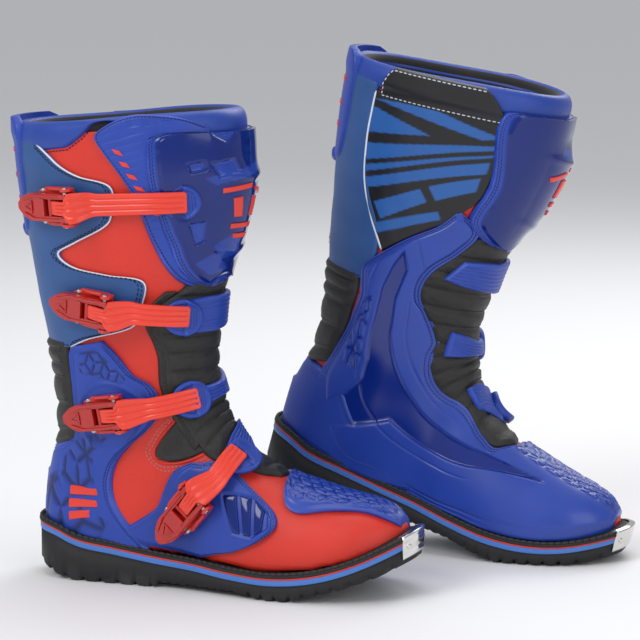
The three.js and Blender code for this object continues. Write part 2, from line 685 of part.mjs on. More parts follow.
// Builds one boot; mirror is -1 for the right boot and 1 for the left
function boot(prefix, mirror) {
  const group = new THREE.Group();
  const finish = (geometry) => {
    if (mirror > 0) return geometry;
    const flipped = geometry.clone().scale(1, -1, 1);
    const index = flipped.index.array;
    for (let i = 0; i < index.length; i += 3) [index[i], index[i + 1]] = [index[i + 1], index[i]];
    flipped.computeVertexNormals();
    return flipped;
  };
  const add = (name, geometry, [color, roughness, metalness], parent = group) => {
    const material = new THREE.MeshStandardMaterial({ color, roughness, metalness });
    const mesh = new THREE.Mesh(finish(geometry), material);
    mesh.name = `${prefix}_${name}`;
    parent.add(mesh);
    return mesh;
  };
  add("outsole", outsole(), paint.black);
  add("welt", welt(), paint.lightBlue);
  add("shank", shank(), paint.steel);
  add("toe_guard", toeGuard(), paint.steel);
  add("upper", upperShell(), paint.red);
  add("liner", liner(), paint.lining);
  add("footbed", footbed(), paint.lining);
  add("calf_panel", calfPanel(), paint.leather);
  add("medial_panel", medialPanel(), paint.black);
  add("rear_bellows", rearBellows(), paint.black);
  add("front_bellows", frontBellows(), paint.black);
  add("heel_counter", heelCounter(), paint.blue);
  add("medial_guard", medialGuard(), paint.blue);
  add("midfoot_guard", midfootGuard(), paint.blue);
  add("shin_plate", shinPlate(), paint.glossBlue);
  frontStraps.forEach((item, i) => {
    const geometry = frontStrap(item.upper, item.lower, item.lip);
    add(`front_strap_${i + 2}`, geometry, paint.blue);
  });
  buckles.forEach((item, i) => {
    const frame = buckleFrame(item, mirror);
    const reach = [-BASE_LENGTH / 2, 0, BASE_LENGTH / 2];
    const heights = reach.flatMap((at) =>
      [-1, 0, 1].map((side) => skinHeight(frame, at, (side * BASE_WIDTH) / 2, item.cover)));
    const floor = Math.max(...heights) + BASE_LIFT;
    const pinZ = floor + BASE_THICK + PIN_RISE;
    const seat = new THREE.Group();
    const flip = (v) => new THREE.Vector3(v.x, mirror * v.y, v.z);
    const [a, n] = [flip(frame.a), flip(frame.n)];
    const b = n.clone().cross(a);
    seat.position.copy(flip(frame.centre));
    seat.quaternion.setFromRotationMatrix(new THREE.Matrix4().makeBasis(a, b, n));
    group.add(seat);
    add(`buckle_base_${i + 1}`, buckleBase(floor), paint.brightRed, seat);
    const lever = add(`buckle_lever_${i + 1}`, buckleLever(), paint.darkRed, seat);
    lever.position.set(PIN_AT, 0, pinZ);
    const strap = add(`buckle_strap_${i + 1}`, buckleStrap(frame, item, pinZ), paint.brightRed, seat);
    strap.position.set(PIN_AT + LOCK_BACK, 0, pinZ);
  });
  return group;
}

const pair = new THREE.Group();
const right = boot("right", -1);
right.position.set(0, RIGHT_Y, 0);
pair.add(right);

// The left boot stands on the front of its sole, heel up
const left = boot("left", 1);
const tip = new THREE.Group();
tip.position.set(LEFT_X + LEFT_TIP_X, LEFT_Y, 0);
tip.rotation.y = rad(LEFT_TILT);
left.position.set(-LEFT_TIP_X, 0, 0);
tip.add(left);
pair.add(tip);

// The frame's origin is the middle of the pair's footprint, on the floor
pair.updateMatrixWorld(true);
const bounds = new THREE.Box3().setFromObject(pair, true);
const middle = bounds.getCenter(new THREE.Vector3());
pair.position.set(-middle.x, -middle.y, -bounds.min.z);
pair.updateMatrixWorld(true);

export default pair;
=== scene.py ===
# %% [markdown]
# # A pair of motocross boots
# The CAD model gives every body, hinge and size. This script dresses it: each hard panel, pad,
# strap and buckle is rebuilt as a finer surface in the place that the CAD gives it, and gets a
# finish made of nodes. The toe box is a few millimetres fuller than the CAD's. Lengths inside
# the functions are millimetres, and become metres only when a mesh is made.

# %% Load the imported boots
import bpy
import json
import math
import numpy as np
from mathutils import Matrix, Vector


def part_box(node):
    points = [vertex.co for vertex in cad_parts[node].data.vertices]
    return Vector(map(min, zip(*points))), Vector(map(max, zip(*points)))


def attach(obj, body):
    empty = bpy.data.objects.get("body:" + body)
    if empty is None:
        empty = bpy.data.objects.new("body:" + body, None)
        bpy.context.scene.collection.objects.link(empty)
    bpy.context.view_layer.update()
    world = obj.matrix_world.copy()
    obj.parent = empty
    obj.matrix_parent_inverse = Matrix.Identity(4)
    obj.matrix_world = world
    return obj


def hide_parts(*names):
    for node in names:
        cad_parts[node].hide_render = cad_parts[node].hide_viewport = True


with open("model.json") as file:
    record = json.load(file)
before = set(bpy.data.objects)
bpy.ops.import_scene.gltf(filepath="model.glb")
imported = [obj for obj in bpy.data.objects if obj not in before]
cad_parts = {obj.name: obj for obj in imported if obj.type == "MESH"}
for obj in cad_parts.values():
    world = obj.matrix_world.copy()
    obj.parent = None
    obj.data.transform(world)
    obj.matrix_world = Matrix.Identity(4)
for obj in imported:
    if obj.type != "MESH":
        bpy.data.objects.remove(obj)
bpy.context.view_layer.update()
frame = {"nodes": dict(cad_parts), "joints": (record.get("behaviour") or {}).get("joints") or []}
MM = 0.001

# %% [markdown]
# ## The camera
# A long lens from 2.2 m keeps the two boots almost without perspective. It stands 18 degrees
# round from square-on and a little above, so that the outer side of one boot and the inner
# side of the other both show.

# %% Camera
CAMERA_TURN, CAMERA_RISE, CAMERA_AWAY = math.radians(18), math.radians(8.5), 2.2
look = Vector((-0.002, -0.026, 0.202))
back = Vector((
    math.sin(CAMERA_TURN) * math.cos(CAMERA_RISE),
    -math.cos(CAMERA_TURN) * math.cos(CAMERA_RISE),
    math.sin(CAMERA_RISE),
))
camera = bpy.data.objects.new("camera", bpy.data.cameras.new("camera"))
bpy.context.scene.collection.objects.link(camera)
camera.location = look + back * CAMERA_AWAY
camera.rotation_euler = (-back).to_track_quat("-Z", "Y").to_euler()
camera.data.sensor_width = 36
camera.data.lens = 156.0
bpy.context.scene.camera = camera
print("camera at", tuple(round(v, 3) for v in camera.location))

# %% [markdown]
# ## The last: the form every piece lies on
# A shoemaker builds on a last. Here the last is a formula: two smooth forms, an upright shaft
# and a long foot, blended at the instep. Curves through a few knots give the side profile and
# the widths. They are the same curves as in the CAD source, so the two agree.

# %% Curves of the last
def smooth_curve(*knots):
    """A Hermite curve through the knots: each knot's slope is the mean of its neighbours'."""
    x, y = np.array(knots, float).T
    gap = np.diff(x)
    slope = np.diff(y) / gap
    inner = (slope[:-1] * gap[1:] + slope[1:] * gap[:-1]) / (gap[:-1] + gap[1:])
    tangent = np.concatenate([slope[:1], inner, slope[-1:]])
    at = np.linspace(x[0], x[-1], 1500)
    i = np.clip(np.searchsorted(x, at, side="right") - 1, 0, len(gap) - 1)
    t = (at - x[i]) / gap[i]
    start = y[i] * (1 + 2 * t) * (1 - t) ** 2 + tangent[i] * gap[i] * t * (1 - t) ** 2
    end = y[i + 1] * t * t * (3 - 2 * t) + tangent[i + 1] * gap[i] * t * t * (t - 1)
    table = start + end
    return lambda v: np.interp(v, at, table)


def straight_curve(*knots):
    """Straight lines through the knots."""
    x, y = np.array(knots, float).T
    return lambda v: np.interp(v, x, y)


SOLE_LENGTH, HEEL_X, TOE_X, HEEL_ROUND, TOE_ROUND = 312, 6.5, 303, 38, 62
rear_x = smooth_curve((30, 13), (75, 12), (95, 12), (112, 17), (140, 18), (160, 16), (185, 11),
                      (220, 4), (260, -3), (290, -8), (330, -13), (380, -15))
front_x = smooth_curve((30, 120), (75, 130), (100, 138), (130, 143), (165, 141), (200, 144),
                       (234, 148), (260, 155), (288, 163), (311, 168), (340, 169), (380, 166))
shaft_half = smooth_curve((36, 32), (60, 34), (100, 36), (130, 40), (160, 42), (190, 44),
                          (230, 50), (280, 57), (320, 61), (380, 62))
foot_top = smooth_curve((0, 70), (30, 100), (70, 115), (110, 122), (140, 124), (158, 117),
                        (172, 105), (185, 96), (204, 88), (231, 80), (255, 74), (279, 69),
                        (292, 64), (299, 59), (303, 55))
welt_top = smooth_curve((0, 46), (24, 43), (40, 37), (73, 32), (113, 27), (145, 24.5),
                        (177, 21.5), (209, 20.5), (240, 24), (271, 33), (294, 43), (312, 52))
sole_bottom = straight_curve((0, 15), (12, 8), (25, 3), (40, 0), (108, 0), (112, 4), (175, 4),
                             (195, 1), (204, 0), (222, 0), (240, 5), (252, 8.3), (265, 12),
                             (289, 20.5), (312, 32))
outer_half = smooth_curve((0, 36), (30, 38), (60, 39), (100, 40), (130, 42), (170, 50),
                          (205, 55), (240, 54), (270, 50), (312, 42))
inner_half = smooth_curve((0, 35), (30, 37), (60, 37), (100, 35), (130, 36), (170, 44),
                          (205, 50), (240, 51), (270, 49), (312, 42))


def sole_half(x, side):
    """Half width of the sole at x, rounded off at heel and toe by a 2.3-power superellipse."""
    heel = np.clip((HEEL_ROUND - x) / HEEL_ROUND, 0, 1)
    toe = np.clip((x - SOLE_LENGTH + TOE_ROUND) / TOE_ROUND, 0, 1)
    ends = (1 - heel ** 2.3) ** (1 / 2.3) * (1 - toe ** 2.3) ** (1 / 2.3)
    return np.where(side > 0, outer_half(x), inner_half(x)) * ends


def smoothstep(value, low, high):
    """0 below low, 1 above high, and an even S between."""
    t = np.clip((value - low) / (high - low), 0, 1)
    return t * t * (3 - 2 * t)


def skin_distance(x, y, z):
    """Rough signed distance to the last: a shaft and a foot, joined by a smooth minimum."""
    half = (front_x(z) - rear_x(z)) / 2
    middle = (front_x(z) + rear_x(z)) / 2
    wide = shaft_half(z)
    ring = (np.abs((x - middle) / half) ** 2.2 + np.abs(y / wide) ** 2.2) ** (1 / 2.2)
    shaft = (ring - 1) * np.minimum(half, wide)
    floor = welt_top(x)
    high = np.maximum(foot_top(x) - floor, 1)
    along = (x - HEEL_X) * SOLE_LENGTH / (TOE_X - HEEL_X)
    side = np.maximum(0.87 * sole_half(along, y), 0.01)
    arch = np.abs(y / side) ** 2.5 + (np.maximum(z - floor, 0) / high) ** 2.2
    dome = (arch ** (1 / 2.35) - 1) * np.minimum(side, high)
    foot = np.maximum(dome, np.maximum(HEEL_X - x, x - TOE_X))
    blend = 8 + 14 * smoothstep(x, 40, 100)
    share = np.clip(0.5 + 0.5 * (foot - shaft) / blend, 0, 1)
    joined = foot * (1 - share) + shaft * share - blend * share * (1 - share)
    return np.maximum(joined, floor - z)


# %% [markdown]
# ## Addresses on the last
# A place on the boot has an address: its station and its angle. Stations run from the toe tip
# (0) back to the ankle, fan round the instep and climb the shaft to the rim (448). The angle
# is 0 at the front or top, 90 on the outer side, 180 at the heel side and -90 on the inner
# side. A ray at that address finds the skin by halving an interval again and again.

# %% Stations, rays and surface points
TOE_RUN, FAN, PIVOT_X, PIVOT_Z = 128, 108, 175, 160
SHAFT_START = TOE_RUN + FAN
RIM = 439
toe_centre = smooth_curve((175, 55), (262, 53), (290, 50.5), (303, 50))
MIDDLE_SHIFT, RAY_LENGTH, RAY_HALVINGS = 0.015, 150.0, 22


def surface(station, angle, lift=0.0):
    """Points at that address, lifted along the ray, as an array with x, y, z last.

    A ray in the boot's middle plane is searched a touch beside it, because past the foot's
    ends skin_distance has a fin of almost no thickness there."""
    station, angle = np.broadcast_arrays(np.asarray(station, float), np.asarray(angle, float))
    turn = np.clip((station - TOE_RUN) / FAN, 0, 1) * (np.pi / 2)
    reach = 105 - 10 * turn / np.pi
    dx, dz = np.sin(turn), np.cos(turn)
    on_toe = station < TOE_RUN
    x = np.where(on_toe, TOE_X - station, PIVOT_X - dx * reach)
    climb = np.maximum(station - SHAFT_START, 0)
    z = np.where(on_toe, toe_centre(TOE_X - station), PIVOT_Z - dz * reach + climb)
    c, side = np.cos(np.radians(angle)), np.sin(np.radians(angle))
    low, high = np.zeros_like(station), np.full_like(station, RAY_LENGTH)
    beside = np.where(np.abs(side) < MIDDLE_SHIFT, MIDDLE_SHIFT, side)
    for _ in range(RAY_HALVINGS):
        middle = (low + high) / 2
        out = skin_distance(x + dx * c * middle, beside * middle, z + dz * c * middle) > 0
        high, low = np.where(out, middle, high), np.where(out, low, middle)
    r = (low + high) / 2 + lift
    return np.stack([x + dx * c * r, side * r, z + dz * c * r], -1)


def normals_at(station, angle):
    """Outward unit normals of the last, from the cross product of two short steps."""
    a = surface(station + 0.5, angle) - surface(station - 0.5, angle)
    b = surface(station, angle + 0.5) - surface(station, angle - 0.5)
    n = np.cross(a, b)
    n /= np.maximum(np.linalg.norm(n, axis=-1, keepdims=True), 1e-9)
    outward = surface(station, angle, 1.0) - surface(station, angle)
    return n * np.sign((n * outward).sum(-1, keepdims=True))


def collar_drop(station, angle):
    """How much lower the rim is at that angle: nothing at the shin, 11 mm at the calf."""
    return np.maximum(station - 380, 0) / 60 * 5.5 * (1 - np.cos(np.radians(angle)))


def weld_angle(station, side, lift=0.0):
    """Angle at which the skin meets the welt, found by halving."""
    station = np.asarray(station, float)
    low, high = np.full_like(station, 60.0), np.full_like(station, 179.0)
    for _ in range(20):
        middle = (low + high) / 2
        p = surface(station, side * middle, lift)
        under = p[..., 2] < welt_top(p[..., 0]) + 0.6
        high, low = np.where(under, middle, high), np.where(under, low, middle)
    return side * low


print("toe", surface(1.5, 0).round(1), "shin", surface(380, 0).round(1))

# %% [markdown]
# ## Two boots from one
# Each piece is worked out once, for a boot with its heel at x = 0. The right boot mirrors it
# across y. The left boot stands on the front of its sole, so it is turned about the point
# where the CAD has its hinge. A mesh that comes out with negative volume has its faces
# turned, which takes care of the mirror.

# %% Placing pieces on the two boots
LEFT_TIP, LEFT_TILT = 222, math.radians(15.2)
spots = np.linspace(0, SOLE_LENGTH, 2000)
widest_out, widest_in = sole_half(spots, 1).max(), sole_half(spots, -1).max()
sole_low, sole_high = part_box("right_outsole")
right_x = sole_low.x / MM - 0.4
right_y = (sole_low.y + sole_high.y) / 2 / MM + (widest_out - widest_in) / 2
tip_joint = next(j for j in frame["joints"] if j["name"] == "left_boot_tip")
tip = np.array(tip_joint["pos_m"]) / MM
print("right boot at", round(right_x, 2), round(right_y, 2), "left tip", tip.round(2))


def place(points, side):
    """Boot millimetres to the row frame: mirrored for the right boot, tilted for the left."""
    x, y, z = np.moveaxis(np.asarray(points, float), -1, 0)
    if side == "right":
        return np.stack([right_x + x, right_y - y, z], -1) * MM
    c, s = math.cos(LEFT_TILT), math.sin(LEFT_TILT)
    ahead = x - LEFT_TIP
    moved = [tip[0] + ahead * c + z * s, tip[1] + y, tip[2] - ahead * s + z * c]
    return np.stack(moved, -1) * MM


def volume(points, faces):
    """Signed volume of a closed mesh: a sum of small pyramids to the origin."""
    total = 0.0
    for group in faces:
        p = points[group]
        for k in range(1, group.shape[1] - 1):
            total += np.einsum("ij,ij->i", p[:, 0], np.cross(p[:, k], p[:, k + 1])).sum()
    return total / 6


def joined(parts):
    """Several closed parts (points, faces) as one, each with its faces turned outward."""
    points, faces, start = [], [], 0
    for p, groups in parts:
        if volume(p - p.mean(0), groups) < 0:
            groups = [g[:, ::-1] for g in groups]
        points.append(p)
        faces += [g + start for g in groups]
        start += len(p)
    return np.concatenate(points), faces


def mesh_piece(name, parts, finish, side, body, data=None, replaces=(), bevel=0):
    """Makes one object from closed parts given in boot millimetres, and seats it on a body."""
    points, faces = joined([(place(p, side), f) for p, f in parts])
    mesh = bpy.data.meshes.new(name)
    mesh.from_pydata(points.tolist(), [], [f for g in faces for f in g.tolist()])
    mesh.polygons.foreach_set("use_smooth", np.ones(len(mesh.polygons), bool))
    for key, values in (data or {}).items():
        if key == "flat":
            loops = np.empty(len(mesh.loops), np.int32)
            mesh.loops.foreach_get("vertex_index", loops)
            layer = mesh.uv_layers.new(name="flat")
            layer.data.foreach_set("uv", (values[loops] * MM).astype(np.float32).ravel())
        else:
            mesh.attributes.new(key, "FLOAT", "POINT").data.foreach_set("value", values.ravel())
    mesh.materials.append(finish)
    piece = bpy.data.objects.new(name, mesh)
    bpy.context.scene.collection.objects.link(piece)
    if bevel:
        rounding = piece.modifiers.new("rounded", "BEVEL")
        rounding.width, rounding.segments, rounding.limit_method = bevel * MM, 2, "ANGLE"
        rounding.angle_limit = math.radians(38)
        rounding.harden_normals = True
    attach(piece, body)
    if replaces:
        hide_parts(*replaces)
    return piece


def on_both(name, parts, finish, data=None, replaces=(), part="boot", bevel=0):
    """The same piece on the right and the left boot."""
    made = []
    for side in ("right", "left"):
        nodes = [f"{side}_{node}" for node in replaces or ()]
        made.append(mesh_piece(f"{side}_{name}", parts, finish, side, f"{side}_{part}",
                               data, nodes, bevel))
    print(name, len(made[0].data.polygons), "faces")
    return made


# %% [markdown]
# ## Finishes
# All finishes share one recipe of nodes. A broad noise shifts the colour a little, as dye and
# moulding do. A fine pattern makes the bump: cells for leather, grit for moulded plastic, a
# twill for cloth. The attribute `wear` is 1 at an exposed edge, where the surface is rubbed
# paler. The attribute `tint` mixes in a second colour, for prints and glossy bands, and as
# painted shade in the grooves between moulded cubes.

# %% Recipe for a finish
def finish(name, colour, rough=(0.35, 0.5), grain="grit", scale=900, bump=0.15, drift=0.1,
           wear=0.25, metal=0.0, coat=0.0, coat_rough=0.08, sheen=0.0, second=None,
           second_rough=None, level=0.5, depth=0.0004):
    """Principled material whose colour, roughness and bump come from patterns."""
    made = bpy.data.materials.new(name)
    made.use_nodes = True
    tree = made.node_tree
    shader = tree.nodes["Principled BSDF"]
    link = tree.links.new

    def node(kind, **values):
        new = tree.nodes.new(kind)
        for key, value in values.items():
            if key in new.inputs:
                new.inputs[key].default_value = value
            else:
                setattr(new, key, value)
        return new

    def mix(factor, first, other):
        new = node("ShaderNodeMix", data_type="RGBA")
        link(factor, new.inputs[0])
        for slot_number, value in ((6, first), (7, other)):
            if hasattr(value, "node"):
                link(value, new.inputs[slot_number])
            else:
                new.inputs[slot_number].default_value = (*value, 1)
        return new.outputs[2]

    def ranged(value, low, high, start=0.0, end=1.0):
        new = node("ShaderNodeMapRange")
        link(value, new.inputs[0])
        for i, number in enumerate((start, end, low, high), 1):
            new.inputs[i].default_value = number
        return new.outputs[0]

    place_node = node("ShaderNodeTexCoord").outputs["Object"]
    broad = node("ShaderNodeTexNoise", Scale=22.0, Detail=5.0, Roughness=0.6)
    link(place_node, broad.inputs["Vector"])
    colour = np.array(colour, float)
    dark, light = colour * (1 - drift), np.minimum(colour * (1 + drift) + 0.004, 1)
    base = mix(ranged(broad.outputs[0], 0, 1, 0.3, 0.7), tuple(dark), tuple(light))
    fine = node("ShaderNodeTexNoise", Scale=scale * 1.0, Detail=3.0, Roughness=0.55)
    link(place_node, fine.inputs["Vector"])
    height = fine.outputs[0]
    if grain == "leather":
        cells = node("ShaderNodeTexVoronoi", feature="DISTANCE_TO_EDGE", Scale=float(scale))
        link(place_node, cells.inputs["Vector"])
        soft = ranged(cells.outputs["Distance"], 0, 1, 0.0, 0.28)
        add = node("ShaderNodeMath", operation="MULTIPLY_ADD")
        link(soft, add.inputs[0])
        add.inputs[1].default_value = 0.8
        link(fine.outputs[0], add.inputs[2])
        height = add.outputs[0]
        base = mix(ranged(soft, 0.35, 0, 0, 0.6), base, tuple(dark * 0.6))
    if grain == "twill":
        threads = node("ShaderNodeTexWave", Scale=float(scale), Distortion=0.4)
        cross = node("ShaderNodeTexWave", Scale=float(scale), Distortion=0.4)
        cross.bands_direction = "Z"
        link(place_node, threads.inputs["Vector"])
        link(place_node, cross.inputs["Vector"])
        add = node("ShaderNodeMath", operation="MULTIPLY")
        link(threads.outputs[0], add.inputs[0])
        link(cross.outputs[0], add.inputs[1])
        height = add.outputs[0]
        base = mix(ranged(height, 0, 0.5), tuple(dark * 0.6), base)
    if second is not None:
        painted = node("ShaderNodeAttribute", attribute_name="tint").outputs["Fac"]
        base = mix(painted, base, tuple(second))
    rubbed = node("ShaderNodeAttribute", attribute_name="wear").outputs["Fac"]
    patchy = node("ShaderNodeMath", operation="MULTIPLY")
    link(rubbed, patchy.inputs[0])
    link(ranged(broad.outputs[0], 0, wear, 0.42, 0.62), patchy.inputs[1])
    pale = tuple(np.minimum(colour * 1.5 + 0.06, 1))
    base = mix(patchy.outputs[0], base, pale)
    link(base, shader.inputs["Base Color"])
    dull = ranged(broad.outputs[0], rough[0], rough[1], 0.3, 0.7)
    if second_rough is not None:
        blend = node("ShaderNodeMix", data_type="FLOAT")
        link(painted, blend.inputs[0])
        link(dull, blend.inputs[2])
        blend.inputs[3].default_value = second_rough
        dull = blend.outputs[0]
    link(dull, shader.inputs["Roughness"])
    bumps = node("ShaderNodeBump", Strength=bump, Distance=depth)
    link(height, bumps.inputs["Height"])
    link(bumps.outputs[0], shader.inputs["Normal"])
    shader.inputs["Metallic"].default_value = metal
    shader.inputs["Specular IOR Level"].default_value = level
    shader.inputs["Coat Weight"].default_value = coat
    shader.inputs["Coat Roughness"].default_value = coat_rough
    shader.inputs["Sheen Weight"].default_value = sheen
    return made


RED, BLUE, DEEP = (0.72, 0.03, 0.014), (0.011, 0.05, 0.37), (0.002, 0.02, 0.22)
LEATHER_BLUE, PALE_BLUE = (0.018, 0.088, 0.29), (0.06, 0.19, 0.58)
red_leather = finish("red_leather", RED, (0.42, 0.55), "leather", 1500, 0.12, 0.05, 0.15)
# The second colour of blue_moulding is painted shade: the ankle guard lays it only into the grooves
# between its cubes.
blue_rubber = finish("blue_moulding", BLUE, (0.38, 0.5), "grit", 1600, 0.12, 0.08, 0.5,
                     second=(0.003, 0.014, 0.11), second_rough=0.5)
# The second colour of guard_moulding is the darker glossy channel floor, and also painted shade in
# the grooves between the inner guard's cubes.
guard_blue = finish("guard_moulding", BLUE, (0.36, 0.48), "grit", 1600, 0.1, 0.08, 0.5,
                    second=DEEP, second_rough=0.12, coat=0.25, coat_rough=0.15)
gloss_blue = finish("gloss_shin", BLUE, (0.22, 0.32), "grit", 700, 0.04, 0.08, 0.4,
                    second=(0.0015, 0.016, 0.17), second_rough=0.1, coat=0.35, coat_rough=0.05,
                    level=0.3)
calf_leather = finish("calf_leather", LEATHER_BLUE, (0.4, 0.52), "leather", 1300, 0.2, 0.12)
collar_leather = finish("collar_leather", (0.012, 0.055, 0.36), (0.36, 0.46), "leather", 1500,
                        0.15, 0.08)
printed_leather = finish("printed_leather", (0.006, 0.006, 0.008), (0.35, 0.45), "leather",
                         1400, 0.12, 0.1, 0.1, second=(0.018, 0.11, 0.38), second_rough=0.4)
bellows_leather = finish("bellows_leather", (0.016, 0.015, 0.013), (0.42, 0.6), "leather",
                         900, 0.5, 0.3, 0.5)
lining_cloth = finish("lining_cloth", (0.012, 0.012, 0.013), (0.8, 0.95), "twill", 380, 0.5,
                      0.2, 0.2, sheen=0.3)
footbed_foam = finish("footbed_foam", (0.02, 0.02, 0.022), (0.8, 0.95), "twill", 300, 0.5)
sole_rubber = finish("sole_rubber", (0.010, 0.010, 0.011), (0.62, 0.8), "grit", 1200, 0.3,
                     0.2, 0.6)
rand_blue = finish("rand_blue", PALE_BLUE, (0.45, 0.6), "grit", 1200, 0.15, 0.06, 0.3)
rand_red = finish("rand_red", RED, (0.45, 0.6), "grit", 1200, 0.15, 0.06, 0.3)
welt_black = finish("welt_black", (0.010, 0.010, 0.010), (0.5, 0.7), "leather", 1100, 0.4)
buckle_red = finish("buckle_red", (0.66, 0.022, 0.012), (0.2, 0.32), "grit", 900, 0.05, 0.06,
                    0.35, coat=0.35, coat_rough=0.12)
strap_red = finish("strap_red", (0.82, 0.045, 0.02), (0.28, 0.4), "grit", 900, 0.08, 0.05,
                   0.25, coat=0.15, coat_rough=0.2)
lever_red = finish("lever_red", (0.46, 0.010, 0.007), (0.16, 0.28), "grit", 900, 0.05, 0.06,
                   0.35, coat=0.4, coat_rough=0.1)
badge_red = finish("badge_red", (0.78, 0.04, 0.02), (0.3, 0.4), "grit", 900, 0.08, 0.05, 0.3)
chrome = finish("toe_chrome", (0.72, 0.71, 0.68), (0.08, 0.2), "grit", 300, 0.05, 0.08, 0.2,
                metal=1.0)
steel = finish("shank_steel", (0.5, 0.5, 0.5), (0.25, 0.4), "grit", 500, 0.1, metal=1.0)
piping_white = finish("piping_white", (0.72, 0.76, 0.84), (0.4, 0.55), "grit", 1500, 0.1, 0.05)
navy_thread = finish("navy_thread", (0.003, 0.008, 0.05), (0.6, 0.75), "grit", 3000, 0.3)
white_thread = finish("white_thread", (0.6, 0.62, 0.66), (0.6, 0.75), "grit", 3000, 0.3)
rose_thread = finish("rose_thread", (0.52, 0.2, 0.22), (0.6, 0.75), "grit", 3000, 0.3)
black_thread = finish("black_thread", (0.02, 0.02, 0.02), (0.55, 0.7), "grit", 3000, 0.4)
print("finishes", len(bpy.data.materials))

# %% [markdown]
# ## Panels
# A boot panel is cut from sheet or moulded, with a rounded edge, and laid on the skin. Here it
# lies between two edge lines. Rows run from one edge to the other; rows and columns crowd
# together at the border so that the rounding is smooth. Its height over the skin is the lift,
# plus the thickness times a quarter circle near the border, plus any relief.

# %% Grids, panels and their borders
def walk(corners, share):
    """Addresses along a smooth line through the corners, at shares of their number."""
    corners = np.array(corners, float)
    count = len(corners) - 1
    if count == 1:
        return corners[0] + (corners[1] - corners[0]) * np.asarray(share)[..., None]
    line = [smooth_curve(*zip(range(count + 1), corners[:, k])) for k in (0, 1)]
    return np.stack([f(np.asarray(share) * count) for f in line], -1)


def grid_faces(rows, columns, wrap=False):
    """Quads joining neighbours in a grid, its last column joined to its first if wrapped."""
    r = np.arange(rows - 1)[:, None] * columns
    c = np.arange(columns if wrap else columns - 1)[None]
    n = (c + 1) % columns
    return np.stack([r + c, r + n, r + columns + n, r + columns + c], -1).reshape(-1, 4)


def spaced(length, pitch, bead=(0, 0.25, 0.7, 1.4)):
    """Shares of a run: a few close together at each end, then even steps between."""
    bead = np.array(bead) * min(1, 0.3 * length / bead[-1])
    count = max(int((length - 2 * bead[-1]) / pitch), 2)
    middle = np.linspace(bead[-1], length - bead[-1], count + 1)
    return np.concatenate([bead[:-1], middle, (length - bead[:-1])[::-1]]) / length


def border_loop(rows, columns):
    """Indices of a grid's border, in order round it."""
    g = np.arange(rows * columns).reshape(rows, columns)
    return np.concatenate([g[0, :-1], g[:-1, -1], g[-1, :0:-1], g[:0:-1, 0]])


def lengths(points, axis):
    """Running length along a grid of points, from zero."""
    step = np.linalg.norm(np.diff(points, axis=axis), axis=-1)
    zero = np.zeros_like(np.take(step, [0], axis))
    return np.cumsum(np.concatenate([zero, step], axis), axis)


